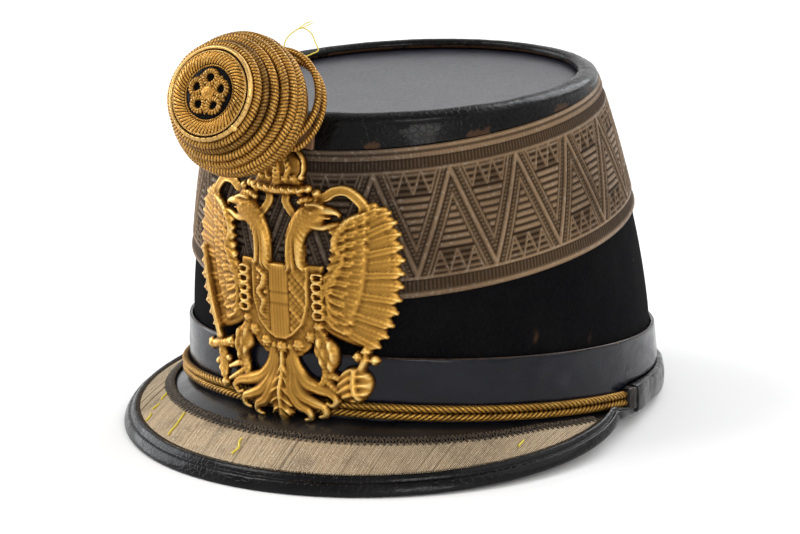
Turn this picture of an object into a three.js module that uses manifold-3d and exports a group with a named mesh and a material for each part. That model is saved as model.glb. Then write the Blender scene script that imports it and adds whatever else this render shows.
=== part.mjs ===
// A kepi-shaped ceremonial shako with a lace band, a laced peak, a pierced plate and a bullion rosette.
// Units are millimetres, +Z is up and the front of the cap faces -Y. Angles round the cap are in
// degrees from the front, positive towards +X.
import * as THREE from "three";
import { mergeVertices } from "three/addons/utils/BufferGeometryUtils.js";
import Module from "manifold-3d";

const wasm = await Module();
wasm.setup();

// Driving dimensions
const GAP = 0.3;
const STATIONS = 44;
const CROWN = {
  height: 116, wall: 2.4, plate: 2,
  baseHalfWidth: 84.5, baseHalfLength: 99.9,
  topHalfWidth: 67.3, topHalfLength: 78.5,
  topForward: 20.1, sideBulge: 4.6, endBulge: 3.4, eggShare: 0.027,
};
const RIM = { rise: 4.5, slope: 0.108, width: 6.4, leather: 1.2, roll: 2.2, sunk: 3.5, discThick: 1.4 };
const LACE = { bottom: 65.2, bottomSlope: 0.189, topSlope: 0.18, thick: 1.2 };
const BAND = { top: 24.7, slope: -0.029, thick: 1.7 };
const PEAK = {
  reach: 33, halfAngle: 85, widthPower: 0.52, edgeDrop: 16.2, sideLift: 19.7, dropPower: 0.57,
  fallPower: 1.2, thick: 1.9, laceThick: 0.9, gimpWidth: 2.4, gimpThick: 1.4, gimpLine: 14, gimpAngle: 78,
  gimpPower: 0.6, narrowest: 1.5,
};
const BINDING = { width: 4.8, height: 4.4, endGap: 0.6, endShare: 0.55 };
const CORD = { strand: 2.7, height: 3.3, frontRise: 0.058 };
const FLAP = {
  leather: 1, top: 7.8, under: 1.2, round: 0.4, sag: 1, mouth: 87, mouthWidth: 2.4, settle: 10,
};
const PLATE = {
  lift: 0.5, thick: 1, strokeBack: 0.3, lean: 4, shift: 0.6, pivot: 50,
  tailFrom: 21, tailTo: 12.5, feathers: 9, top: 96, underTab: 2.2,
};
const ROSETTE = {
  sideways: -7.2, standoff: 19.7, above: 4.2, lean: 17, radius: 25.2, coil: 1.9, sides: 18,
  front: 16.6, ringRadius: 14.4, ringWidth: 2.2, velvetRadius: 9, shank: 4, back: 19,
};
const TAB = { centre: -1.5, halfAngle: 10, leather: 1.3, height: 7.4 };

// Offsets from the felt's outer face, each built up from what lies under it
const laceOuter = GAP + LACE.thick;
const rimOuter = GAP + RIM.leather;
const bandOuter = GAP + BAND.thick;
const cordFront = bandOuter + GAP + CORD.strand / 2;
const cordRear = GAP + CORD.strand / 2;
const cordOuter = cordFront + CORD.strand / 2;
const strandStep = CORD.strand + GAP;
const pairHalf = (strandStep + CORD.strand) / 2;

// Small helpers
const rad = (degrees) => degrees * Math.PI / 180;
const mix = (from, to, share) => from + (to - from) * share;
const clamp01 = (value) => Math.min(Math.max(value, 0), 1);

function smooth(from, to, value) {
  const share = clamp01((value - from) / (to - from));
  return share * share * (3 - 2 * share);
}

function spread(from, to, count) {
  return Array.from({ length: count + 1 }, (unused, i) => mix(from, to, i / count));
}

const roundAngles = spread(0, 360, STATIONS).slice(0, -1);

// A point at an angle and height on the side of the crown, moved outwards by an offset
function wall(angle, z, offset) {
  const share = z / CROWN.height;
  const bow = 4 * share * (1 - share);
  const a = mix(CROWN.baseHalfWidth, CROWN.topHalfWidth, share) + CROWN.sideBulge * bow + offset;
  const b = mix(CROWN.baseHalfLength, CROWN.topHalfLength, share) + CROWN.endBulge * bow + offset;
  const s = Math.sin(rad(angle));
  const c = Math.cos(rad(angle));
  return new THREE.Vector3(a * s * (1 - CROWN.eggShare * c), -CROWN.topForward * share - b * c, z);
}

// Where the side crosses a plane that is level across the cap and slopes from front to back
function onPlane(angle, level, slope, offset) {
  let z = level;
  for (let i = 0; i < 10; i += 1) {
    z = level + slope * wall(angle, z, offset).y;
  }
  return wall(angle, z, offset);
}

const rimPoint = (angle, height, offset) =>
  onPlane(angle, CROWN.height + RIM.rise + height, RIM.slope, offset);

// Joins a row of equal outlines into one closed solid
function loft(rings, looped = false) {
  const count = rings[0].length;
  const positions = rings.flat().flatMap((p) => [p.x, p.y, p.z]);
  const faces = [];
  const last = looped ? rings.length : rings.length - 1;
  for (let i = 0; i < last; i += 1) {
    const here = i * count;
    const next = ((i + 1) % rings.length) * count;
    for (let j = 0; j < count; j += 1) {
      const k = (j + 1) % count;
      faces.push(here + j, next + j, next + k, here + j, next + k, here + k);
    }
  }
  if (!looped) {
    addCap(rings[0], 0, faces, false);
    addCap(rings[rings.length - 1], (rings.length - 1) * count, faces, true);
  }
  const geometry = new THREE.BufferGeometry();
  geometry.setAttribute("position", new THREE.Float32BufferAttribute(positions, 3));
  geometry.setIndex(faces);
  return outward(geometry);
}

function addCap(ring, first, faces, forward) {
  const normal = new THREE.Vector3();
  ring.forEach((p, i) => normal.add(p.clone().cross(ring[(i + 1) % ring.length])));
  normal.normalize();
  const across = ring[0].clone().sub(ring[Math.floor(ring.length / 2)]).projectOnPlane(normal).normalize();
  const up = normal.clone().cross(across);
  const flat = ring.map((p) => new THREE.Vector2(p.dot(across), p.dot(up)));
  for (const [a, b, c] of THREE.ShapeUtils.triangulateShape(flat, [])) {
    faces.push(first + a, first + (forward ? c : b), first + (forward ? b : c));
  }
}

function volume(geometry) {
  const p = geometry.attributes.position;
  const corner = [0, 1, 2].map(() => new THREE.Vector3());
  let sum = 0;
  for (let i = 0; i < geometry.index.count; i += 3) {
    corner.forEach((v, k) => v.fromBufferAttribute(p, geometry.index.getX(i + k)));
    sum += corner[0].dot(corner[1].clone().cross(corner[2]));
  }
  return sum / 6;
}

function outward(geometry) {
  if (volume(geometry) < 0) {
    geometry.index.array.reverse();
  }
  return geometry;
}

// Boolean joins and cuts
function toSolid(source) {
  const bare = new THREE.BufferGeometry();
  bare.setAttribute("position", source.attributes.position);
  bare.setIndex(source.index);
  const geometry = mergeVertices(bare, 1e-5);
  return new wasm.Manifold(new wasm.Mesh({
    numProp: 3,
    vertProperties: new Float32Array(geometry.attributes.position.array),
    triVerts: new Uint32Array(geometry.index.array),
  }));
}

function toGeometry(solid) {
  const mesh = solid.getMesh();
  const geometry = new THREE.BufferGeometry();
  geometry.setAttribute("position", new THREE.Float32BufferAttribute(mesh.vertProperties, 3));
  geometry.setIndex(new THREE.Uint32BufferAttribute(mesh.triVerts, 1));
  return geometry;
}

const joined = (parts) => parts.map(toSolid).reduce((sum, part) => sum.add(part));

// Crown: a felt cup, open at the base, whose top plate lies sunk inside its rim
function crownBody() {
  const ring = (points) => roundAngles.map(points);
  const side = (share, offset) => ring((angle) =>
    onPlane(angle, share * CROWN.height, share * LACE.topSlope, offset));
  const top = (height, offset) => ring((angle) => rimPoint(angle, height, offset));
  const inside = -CROWN.wall;
  const plateTop = -RIM.sunk - RIM.discThick - GAP;
  return loft([
    top(plateTop, inside),
    top(-RIM.leather - 2 * GAP, inside),
    top(-RIM.leather - 2 * GAP, 0),
    ...[0.85, 0.6, 0.3, 0].map((share) => side(share, 0)),
    ...[0, 0.45, 0.85].map((share) => side(share, inside)),
    top(plateTop - CROWN.plate, inside),
  ]);
}

function topDisc() {
  const edge = -CROWN.wall - GAP;
  return loft([
    roundAngles.map((angle) => rimPoint(angle, -RIM.sunk, edge)),
    roundAngles.map((angle) => rimPoint(angle, -RIM.sunk - RIM.discThick, edge)),
  ]);
}

// The height of the lace's upper edge, kept under the rolled rim at the back
function laceTop(angle, offset) {
  const plane = onPlane(angle, CROWN.height, LACE.topSlope, offset).z;
  return Math.min(plane, rimPoint(angle, -RIM.roll - 2 * GAP, offset).z);
}

// Rolled leather rim and the strip below it, as one piece
function topBand() {
  const inner = -CROWN.wall - GAP;
  const under = -RIM.leather - GAP;
  const profile = [
    { offset: rimOuter, height: -RIM.roll },
    { offset: rimOuter * 0.8, height: -RIM.roll * 0.45 },
    { offset: -RIM.width * 0.1, height: 0 },
    { offset: -RIM.width * 0.45, height: RIM.roll * 0.2 },
    { offset: -RIM.width * 0.9, height: -RIM.roll * 0.2 },
    { offset: -RIM.width, height: -RIM.sunk + GAP },
    { offset: inner, height: -RIM.sunk + GAP },
    { offset: inner, height: under },
    { offset: GAP, height: under },
  ];
  return loft(roundAngles.map((angle) => [
    ...profile.map((row) => rimPoint(angle, row.height, row.offset)),
    wall(angle, laceTop(angle, GAP) + GAP, GAP),
    wall(angle, laceTop(angle, rimOuter) + GAP, rimOuter),
  ]), true);
}

function crownLace() {
  const rows = [0, 0.5, 1];
  const point = (angle, share, offset) => {
    const low = onPlane(angle, LACE.bottom, LACE.bottomSlope, offset).z;
    return wall(angle, mix(low, laceTop(angle, offset), share), offset);
  };
  return loft(roundAngles.map((angle) => [
    ...rows.map((share) => point(angle, share, GAP)),
    ...[...rows].reverse().map((share) => point(angle, share, laceOuter)),
  ]), true);
}

// Leather band round the base, cut away at the back where the neck flap is folded up
function baseBand() {
  const band = loft(roundAngles.map((angle) => {
    const top = (offset) => onPlane(angle, BAND.top, BAND.slope, offset);
    return [wall(angle, 0, GAP), top(GAP), top(bandOuter), wall(angle, 0, bandOuter)];
  }), true);
  const margin = 5;
  const from = FLAP.mouth + FLAP.mouthWidth;
  const seat = loft(spread(from, 360 - from, STATIONS).map((angle) => [
    wall(angle, -margin, -margin),
    wall(angle, FLAP.top + GAP, -margin),
    wall(angle, FLAP.top + GAP, margin),
    wall(angle, -margin, margin),
  ]));
  return toGeometry(toSolid(band).subtract(toSolid(seat)));
}

// Chin cord: two strands, one above the other, that close behind inside the neck flap
const sideAngle = (angle) => (angle > 180 ? 360 - angle : angle);

function cordOffset(angle) {
  const start = FLAP.mouth + FLAP.mouthWidth + 1;
  return mix(cordFront, cordRear, smooth(start, start + FLAP.settle, sideAngle(angle)));
}

const cordHeight = (y) => CORD.height + CORD.frontRise * Math.max(-y, 0);

function cordCentre(angle, level) {
  const z = cordHeight(wall(angle, 0, 0).y) + level * strandStep / 2;
  return wall(angle, z, cordOffset(angle));
}

function chinCord(level) {
  const sides = 6;
  return loft(roundAngles.map((angle) => {
    const centre = cordCentre(angle, level);
    const outwards = cordCentre(angle + 1, level).sub(cordCentre(angle - 1, level))
      .cross(new THREE.Vector3(0, 0, 1)).normalize();
    return spread(0, 360, sides).slice(0, -1).map((turn) => centre.clone()
      .addScaledVector(outwards, Math.cos(rad(turn)) * CORD.strand / 2)
      .add(new THREE.Vector3(0, 0, Math.sin(rad(turn)) * CORD.strand / 2)));
  }), true);
}

// Peak: its underside falls from the seat below the cord to an edge that lies near the floor
const leastWidth = BINDING.width + cordOuter + GAP;
const leastSwell = (leastWidth / PEAK.reach) ** (1 / PEAK.widthPower);
const peakSwell = (angle) => Math.max(Math.cos(Math.PI / 2 * angle / PEAK.halfAngle), leastSwell);
const peakWidth = (angle) => PEAK.reach * peakSwell(angle) ** PEAK.widthPower;

function angleOfWidth(width) {
  return PEAK.halfAngle * 2 / Math.PI * Math.acos((width / PEAK.reach) ** (1 / PEAK.widthPower));
}

function peakPoint(angle, out, lift) {
  const s = Math.sin(rad(angle)) / CROWN.baseHalfWidth;
  const c = -Math.cos(rad(angle)) / CROWN.baseHalfLength;
  const normal = new THREE.Vector3(s, c, 0).normalize();
  const seatTop = cordHeight(wall(angle, 0, 0).y) - pairHalf - GAP;
  const seat = seatTop - PEAK.thick;
  const foot = wall(angle, seatTop, 0);
  const edge = -PEAK.edgeDrop + PEAK.sideLift * (1 - peakSwell(angle) ** PEAK.dropPower);
  const share = clamp01(out / peakWidth(angle)) ** PEAK.fallPower;
  return foot.addScaledVector(normal, out).setZ(mix(seat, edge, share) + lift);
}

function strip(endAngle, steps, inner, outer, low, high, cuts = 2) {
  return loft(spread(-endAngle, endAngle, steps).map((angle) => {
    const across = spread(inner(angle), outer(angle), cuts);
    return [
      ...across.map((out) => peakPoint(angle, out, low)),
      ...[...across].reverse().map((out) => peakPoint(angle, out, high)),
    ];
  }));
}

const bindingInner = (angle) => peakWidth(angle) - BINDING.width;
const taperStart = angleOfWidth(leastWidth);
const peakEnd = FLAP.mouth - BINDING.endGap;
const bindingScale = (angle) => mix(1, BINDING.endShare, smooth(taperStart, peakEnd, Math.abs(angle)));
const gimpInside = cordOuter + GAP;
const panelEnd = angleOfWidth(BINDING.width + gimpInside + PEAK.gimpWidth + PEAK.narrowest + 2 * GAP);

function gimpOuter(angle) {
  const curve = PEAK.gimpLine * Math.max(Math.cos(Math.PI / 2 * angle / PEAK.gimpAngle), 0) ** PEAK.gimpPower;
  return Math.max(curve, gimpInside + PEAK.gimpWidth);
}

function peakBoard() {
  return strip(peakEnd, 26, () => bandOuter + GAP, (angle) => bindingInner(angle) - GAP, 0, PEAK.thick);
}

function peakGimp() {
  const low = PEAK.thick + GAP;
  const inner = (angle) => gimpOuter(angle) - PEAK.gimpWidth;
  return strip(panelEnd, 26, inner, gimpOuter, low, low + PEAK.gimpThick, 1);
}

function peakLace() {
  const low = PEAK.thick + GAP;
  return strip(panelEnd, 26, (angle) => gimpOuter(angle) + GAP, (angle) => bindingInner(angle) - GAP,
    low, low + PEAK.laceThick, 1);
}

// The binding's section, as shares of its width and height: a thin upper roll and a thick lower one
const bindingProfile = [
  { across: 0, up: 0 }, { across: 0, up: 0.85 }, { across: 0.18, up: 1 }, { across: 0.38, up: 0.9 },
  { across: 0.46, up: 0.76 }, { across: 0.7, up: 0.78 }, { across: 0.95, up: 0.5 },
  { across: 1, up: 0.25 }, { across: 0.88, up: 0.02 }, { across: 0.65, up: -0.08 },
];

function bindingPoint(angle, row) {
  const scale = bindingScale(angle);
  const across = bindingInner(angle) + row.across * BINDING.width * scale;
  return peakPoint(angle, across, row.up * BINDING.height * scale);
}

function peakBinding() {
  const section = (angle) => bindingProfile.map((row) => bindingPoint(angle, row));
  return loft(spread(-peakEnd, peakEnd, 26).map(section));
}

// How the cap rests: on the lowest part of the binding and on the back of the neck flap
const flapOuter = (angle) => cordOffset(angle) + CORD.strand / 2 + GAP + FLAP.leather;
const rearContact = wall(180, -FLAP.under - GAP, flapOuter(180) - FLAP.round);
const restTilt = Math.max(...spread(0, 60, 12).flatMap((angle) => bindingProfile.map((row) => {
  const point = bindingPoint(angle, row);
  return Math.atan2(rearContact.z - point.z, rearContact.y - point.y);
})));

// Neck flap: leather folded up round the back of the base, over the hidden stretch of the cord
function neckFlap() {
  const start = FLAP.mouth + FLAP.mouthWidth + GAP;
  return loft(spread(start, 360 - start, 26).map((angle) => {
    const outer = flapOuter(angle);
    const inner = outer - FLAP.leather;
    const behind = wall(angle, rearContact.z, outer - FLAP.round).y;
    const droop = Math.min((rearContact.y - behind) * Math.tan(restTilt), FLAP.sag);
    const low = rearContact.z - droop;
    const roof = FLAP.top - FLAP.leather;
    const rows = [
      { offset: -CROWN.wall, z: -GAP }, { offset: -CROWN.wall, z: low },
      { offset: outer - FLAP.round, z: low },
      { offset: outer, z: low + 0.9 }, { offset: outer + 0.3, z: FLAP.top / 2 }, { offset: outer, z: roof },
      { offset: outer - 0.8, z: FLAP.top }, { offset: GAP, z: FLAP.top }, { offset: GAP, z: roof },
      { offset: inner, z: roof }, { offset: inner, z: -GAP },
    ];
    return rows.map((row) => wall(angle, row.z, row.offset));
  }));
}

// The leather keeper at each end of the flap, wrapped over the cord where it goes in
function flapMouth(side) {
  const inner = cordOuter + GAP;
  const outer = inner + FLAP.leather;
  return loft(spread(FLAP.mouth, FLAP.mouth + FLAP.mouthWidth, 2).map((angle) => {
    const middle = cordHeight(wall(angle, 0, 0).y);
    const reach = pairHalf + GAP;
    const rows = [
      { offset: bandOuter + GAP, z: middle + reach }, { offset: inner, z: middle + reach },
      { offset: inner, z: middle - reach }, { offset: bandOuter + GAP, z: middle - reach },
      { offset: bandOuter + GAP, z: middle - reach - FLAP.leather },
      { offset: outer, z: middle - reach - FLAP.leather },
      { offset: outer, z: middle + reach + FLAP.leather },
      { offset: bandOuter + GAP, z: middle + reach + FLAP.leather },
    ];
    return rows.map((row) => wall(side * angle, row.z, row.offset));
  }));
}

// The leather tab under the rosette, just above the lace
const tabOuter = rimOuter + GAP + TAB.leather;
const tabLow = laceTop(0, rimOuter) + 2 * GAP;
const tabMiddle = tabLow + TAB.height / 2;

// Plate: a pierced double-headed eagle, made of raised strokes bent to the cap's front and joined.
// u runs across the plate from its centre line, v is the height above the base and w the height of the
// relief. half is half a stroke's width and rise the height of its ridge. The tables are drawn for a
// plate as high as PLATE.top, and it is scaled to fill the front up to just below the tab.
const plateScale = (tabLow - PLATE.underTab) / PLATE.top;

function plateBack(v) {
  const flat = Math.max(laceOuter, bandOuter) + PLATE.lift;
  return mix(cordOuter + GAP, flat, smooth(PLATE.tailTo, PLATE.tailFrom, v));
}

function bend(drawnU, drawnV, w) {
  const v = drawnV * plateScale;
  const along = drawnU * plateScale + PLATE.shift + (PLATE.pivot - v) * Math.sin(rad(PLATE.lean));
  const offset = plateBack(v) + w;
  const steps = 24;
  let angle = 0;
  for (let i = 0; i < steps; i += 1) {
    const pace = wall(angle + 0.5, v, offset).distanceTo(wall(angle - 0.5, v, offset));
    angle += along / steps / pace;
  }
  return wall(angle, v, offset);
}

function stroke(stations, side = 1) {
  const spots = stations.map((row) => new THREE.Vector2(row.u * side, row.v));
  return loft(stations.map((row, i) => {
    const before = spots[Math.max(i - 1, 0)];
    const after = spots[Math.min(i + 1, spots.length - 1)];
    const along = after.clone().sub(before).normalize();
    const section = [
      { share: -1, w: PLATE.strokeBack }, { share: -1, w: PLATE.thick },
      { share: 0, w: PLATE.thick + row.rise },
      { share: 1, w: PLATE.thick }, { share: 1, w: PLATE.strokeBack },
    ];
    return section.map((p) => bend(
      spots[i].x - along.y * row.half * p.share, spots[i].y + along.x * row.half * p.share, p.w));
  }));
}

// A panel given by its lower and upper edge and the rise of its face at stations across the plate
function panel(stations, back) {
  return loft(stations.map((row) => [
    bend(row.u, row.low, back), bend(row.u, row.high, back),
    bend(row.u, row.high, PLATE.thick + row.rise), bend(row.u, row.low, PLATE.thick + row.rise),
  ]));
}

function knob(u, v, radius, rise, sides = 6) {
  const level = (share, w) => spread(0, 360, sides).slice(0, -1).map((turn) =>
    bend(u + Math.cos(rad(turn)) * radius * share, v + Math.sin(rad(turn)) * radius * share, w));
  return loft([level(1, PLATE.strokeBack), level(1, PLATE.thick), level(0.55, PLATE.thick + rise)]);
}

// A wing is a fan of feathers: radial sections that lie in turn on a feather's ridge and between two
const WING = { u: 18, v: 54, from: 55, to: -60, root: 5, reach: 26.8, flare: 5, notch: 0.88, covert: 15 };

function wing(side) {
  const middle = (WING.from - WING.to) / 2;
  const sections = spread(WING.from, WING.to, PLATE.feathers * 2).map((turn, i) => {
    const ridge = i % 2;
    const reach = (WING.reach + WING.flare * (turn / middle) ** 2) * (ridge ? 1 : WING.notch);
    const rows = [
      { radius: WING.root, w: 1.4 }, { radius: WING.covert, w: 1 + 0.6 * ridge },
      { radius: reach * 0.85, w: 0.2 + 0.9 * ridge }, { radius: reach, w: 0.2 * ridge },
    ];
    const at = (radius, w) => bend(
      side * (WING.u + Math.cos(rad(turn)) * radius), WING.v + Math.sin(rad(turn)) * radius, w);
    return [
      ...rows.map((row) => at(row.radius, PLATE.thick + row.w)),
      at(reach, 0), at(WING.covert, 0), at(WING.root, 0),
    ];
  });
  const arm = stroke([
    { u: 14, v: 46, half: 4, rise: 1.6 }, { u: 21, v: 56, half: 3.8, rise: 2.2 },
    { u: 26, v: 68, half: 3, rise: 1.8 }, { u: 22, v: 69.5, half: 1.4, rise: 1.4 },
  ], side);
  return [loft(sections), arm];
}

function headAndNeck(side) {
  return [
    stroke([
      { u: 5, v: 56, half: 3.9, rise: 1.8 },
      { u: 6, v: 67, half: 3.4, rise: 2.2 }, { u: 9.5, v: 73, half: 3.6, rise: 2.4 },
      { u: 13.5, v: 77, half: 4, rise: 2.6 }, { u: 17.5, v: 77.6, half: 2.8, rise: 2.2 },
    ], side),
    stroke([
      { u: 16, v: 78.4, half: 2, rise: 2 }, { u: 21, v: 78.4, half: 1.4, rise: 1.6 },
      { u: 24.8, v: 76.2, half: 0.6, rise: 0.8 },
    ], side),
    stroke([
      { u: 15.5, v: 75, half: 1.4, rise: 1.2 }, { u: 20, v: 73.6, half: 1, rise: 1 },
      { u: 26, v: 73.4, half: 0.8, rise: 0.6 },
    ], side),
    stroke([
      { u: 12, v: 79.5, half: 2.4, rise: 1.8 }, { u: 11.3, v: 84, half: 3, rise: 1.2 },
    ], side),
  ];
}

function ribbons(side) {
  return [
    stroke([{ u: 3.6, v: 84, half: 1.5, rise: 0.6 }, { u: 7.6, v: 74, half: 1.5, rise: 0.6 }], side),
    stroke([
      { u: 15.5, v: 79, half: 1.5, rise: 0.6 }, { u: 19.5, v: 83.6, half: 1.7, rise: 0.7 },
      { u: 25, v: 85, half: 1.7, rise: 0.8 }, { u: 31.6, v: 80.6, half: 1.7, rise: 0.7 },
      { u: 29.8, v: 76, half: 1.6, rise: 0.6 }, { u: 27, v: 71, half: 1.8, rise: 0.6 },
    ], side),
  ];
}

function greatCrown(side) {
  return [
    stroke([{ u: -0.5, v: 84, half: 1.8, rise: 1.8 }, { u: 9.5, v: 84, half: 1.6, rise: 1.4 }], side),
    stroke([
      { u: 8, v: 84.5, half: 2, rise: 1.2 }, { u: 10.5, v: 89, half: 3, rise: 1.8 },
      { u: 8, v: 94, half: 2.2, rise: 1.6 }, { u: 3, v: 95, half: 1.2, rise: 1 },
    ], side),
    stroke([{ u: 2.5, v: 84.5, half: 2.6, rise: 1 }, { u: 3.4, v: 92, half: 3, rise: 1.2 }], side),
  ];
}

function legAndTail(side) {
  return [
    stroke([
      { u: 12.5, v: 35, half: 2.4, rise: 1 }, { u: 17, v: 28, half: 3.6, rise: 1.8 },
      { u: 16.2, v: 19, half: 2, rise: 1.2 }, { u: 13.5, v: 12, half: 1.6, rise: 0.8 },
    ], side),
    stroke([{ u: 16, v: 21, half: 1.6, rise: 0.9 }, { u: 24.5, v: 18.5, half: 1.8, rise: 1.1 }], side),
    stroke([
      { u: 3, v: 27, half: 2.4, rise: 1 }, { u: 7.5, v: 17.5, half: 2.2, rise: 1.3 },
      { u: 17, v: 14.2, half: 2, rise: 1.2 }, { u: 20.4, v: 11, half: 1, rise: 0.8 },
    ], side),
    stroke([
      { u: 2, v: 26, half: 2.4, rise: 1 }, { u: 4.6, v: 15, half: 2.2, rise: 1.3 },
      { u: 9.5, v: 8, half: 2, rise: 1.2 }, { u: 13.4, v: 8.4, half: 1, rise: 0.6 },
    ], side),
  ];
}

function shieldAndCollar() {
  const collar = [
    { u: -16.5, low: 40, high: 58, rise: 0.5 }, { u: -11, low: 33.5, high: 60, rise: 0.5 },
    { u: -5.5, low: 29, high: 60, rise: 0.5 }, { u: 0, low: 27, high: 60, rise: 0.5 },
    { u: 5.5, low: 29, high: 60, rise: 0.5 }, { u: 11, low: 33.5, high: 60, rise: 0.5 },
    { u: 16.5, low: 40, high: 58, rise: 0.5 },
  ];
  const shield = [
    { u: -11, low: 42, high: 57, rise: 2 }, { u: -9, low: 39, high: 57, rise: 1.6 },
    { u: -6.6, low: 36, high: 57, rise: 2.4 }, { u: -3.4, low: 33, high: 57, rise: 1.6 },
    { u: 0, low: 31.5, high: 57, rise: 2.4 }, { u: 3.4, low: 33, high: 57, rise: 1.6 },
    { u: 6.6, low: 36, high: 57, rise: 2.4 }, { u: 9, low: 39, high: 57, rise: 1.6 },
    { u: 11, low: 42, high: 57, rise: 2 },
  ];
  const parts = [panel(collar, PLATE.strokeBack / 2), panel(shield, PLATE.strokeBack)];
  for (const side of [-1, 1]) {
    parts.push(stroke([
      { u: 14, v: 57, half: 1.7, rise: 1.6 }, { u: 14, v: 41, half: 1.7, rise: 1.6 },
    ], side));
    parts.push(knob(side * 11.5, 36, 2.4, 1.9), knob(side * 6.4, 31.4, 2.4, 1.9));
  }
  parts.push(knob(0, 28.6, 2.4, 1.9));
  return parts;
}

// What the claws hold: a sword with its hilt on one side and an orb with its cross on the other
function regalia() {
  return [
    stroke([
      { u: -40, v: 60, half: 0.7, rise: 1.8 }, { u: -34.5, v: 44, half: 1, rise: 2.4 },
      { u: -28.6, v: 27, half: 1.2, rise: 1.8 },
    ]),
    stroke([{ u: -32.4, v: 25.4, half: 1.4, rise: 1.4 }, { u: -25, v: 27, half: 1.4, rise: 1.4 }]),
    stroke([
      { u: -28.6, v: 27, half: 1.6, rise: 1.6 }, { u: -26.4, v: 20, half: 2.4, rise: 1.8 },
      { u: -25.6, v: 13, half: 1.4, rise: 1.2 },
    ]),
    knob(28, 17.6, 5.6, 3, 10),
    stroke([{ u: 29.2, v: 22, half: 1.2, rise: 1.2 }, { u: 31, v: 28, half: 1.2, rise: 1.2 }]),
    stroke([{ u: 27.8, v: 26, half: 1.1, rise: 1.2 }, { u: 33, v: 24.8, half: 1.1, rise: 1.2 }]),
  ];
}

function eaglePlate() {
  const centre = stroke([
    { u: 0, v: 30, half: 3, rise: 1 }, { u: 0, v: 20, half: 2.6, rise: 1.6 },
    { u: 0, v: 10, half: 3.8, rise: 1.8 }, { u: 0, v: 5, half: 2.4, rise: 1.2 },
  ]);
  const finial = knob(0, 93.4, 2.6, 1.8);
  const pairs = [-1, 1].flatMap((side) => [
    ...wing(side), ...headAndNeck(side), ...ribbons(side), ...greatCrown(side), ...legAndTail(side),
  ]);
  return toGeometry(joined([...shieldAndCollar(), ...pairs, ...regalia(), centre, finial]));
}

// Rosette: coils of bullion cord stepped to a front with a ring, a border and a velvet centre.
// Its local +Y axis points forwards. Heights are shares of the front's distance, radii of the radius.
const coilRows = [
  { height: -0.9, radius: 0.75 }, { height: -0.6, radius: 0.88 }, { height: -0.3, radius: 0.96 },
  { height: 0, radius: 1 }, { height: 0.25, radius: 0.93 }, { height: 0.46, radius: 0.84 },
  { height: 0.66, radius: 0.75 },
];

function lathe(rows, sides = ROSETTE.sides) {
  const points = rows.map((row) => new THREE.Vector2(row.radius, row.height));
  const geometry = new THREE.LatheGeometry(points, sides);
  geometry.deleteAttribute("normal");
  geometry.deleteAttribute("uv");
  return outward(mergeVertices(geometry, 1e-4));
}

function tube(points, radius, sides, looped) {
  const along = (i) => {
    const n = points.length;
    const before = looped ? points[(i + n - 1) % n] : points[Math.max(i - 1, 0)];
    const after = looped ? points[(i + 1) % n] : points[Math.min(i + 1, n - 1)];
    return after.clone().sub(before).normalize();
  };
  return loft(points.map((point, i) => {
    const side = along(i).cross(new THREE.Vector3(0, 1, 0)).normalize();
    const up = side.clone().cross(along(i));
    return spread(0, 360, sides).slice(0, -1).map((turn) => point.clone()
      .addScaledVector(side, Math.cos(rad(turn)) * radius).addScaledVector(up, Math.sin(rad(turn)) * radius));
  }), looped);
}

// Two slack turns of cord that stand out at the back of the coils
function slackTurn(height, reach) {
  const points = spread(-75, 65, 10).map((turn, i) => {
    const radius = ROSETTE.radius * (i === 0 || i === 10 ? 0.7 : reach);
    return new THREE.Vector3(Math.cos(rad(turn)) * radius, height, Math.sin(rad(turn)) * radius);
  });
  return tube(points, ROSETTE.coil * 0.7, 5, false);
}

function rosetteCoils() {
  const bumps = coilRows.flatMap((row) => {
    const radius = row.radius * ROSETTE.radius;
    const height = row.height * ROSETTE.front;
    return [
      { radius: radius - ROSETTE.coil * 0.6, height: height - ROSETTE.coil },
      { radius, height: height - ROSETTE.coil * 0.5 },
      { radius, height: height + ROSETTE.coil * 0.5 },
    ];
  });
  const body = lathe([
    { radius: 0, height: -ROSETTE.back }, { radius: ROSETTE.radius * 0.55, height: -ROSETTE.back },
    ...bumps,
    { radius: ROSETTE.ringRadius + ROSETTE.ringWidth, height: ROSETTE.front - ROSETTE.coil },
    { radius: 0, height: ROSETTE.front - ROSETTE.coil },
  ]);
  const turns = [slackTurn(-ROSETTE.back * 0.55, 1.06), slackTurn(-ROSETTE.back * 0.82, 0.98)];
  return toGeometry(joined([body, ...turns]));
}

function rosetteRing() {
  const low = ROSETTE.front - ROSETTE.coil + GAP;
  const high = ROSETTE.front - 0.4;
  const inner = ROSETTE.ringRadius;
  const outer = ROSETTE.ringRadius + ROSETTE.ringWidth;
  const rows = [
    { radius: inner, height: low }, { radius: outer, height: low },
    { radius: outer - 0.3, height: high }, { radius: inner, height: high + 0.3 },
  ];
  return lathe([...rows, rows[0]]);
}

function rosetteBorder() {
  const low = ROSETTE.front - ROSETTE.coil + GAP;
  const outer = ROSETTE.ringRadius - GAP;
  const inner = ROSETTE.velvetRadius + GAP;
  const rows = [
    { radius: inner, height: low }, { radius: outer, height: low },
    { radius: outer, height: ROSETTE.front }, { radius: mix(inner, outer, 0.5), height: ROSETTE.front + 1 },
    { radius: inner, height: ROSETTE.front + 0.2 },
  ];
  return lathe([...rows, rows[0]]);
}

function rosetteVelvet() {
  const low = ROSETTE.front - ROSETTE.coil + GAP;
  return lathe([
    { radius: 0, height: low }, { radius: ROSETTE.velvetRadius, height: low },
    { radius: ROSETTE.velvetRadius, height: ROSETTE.front - 0.6 }, { radius: 0, height: ROSETTE.front - 0.6 },
  ]);
}

// A plain knot of five petals round a button
const KNOT = { petals: 5, reach: 0.8, dip: 0.22, eye: 0.44, button: 0.32, thick: 1.6, rise: 0.5 };

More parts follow.
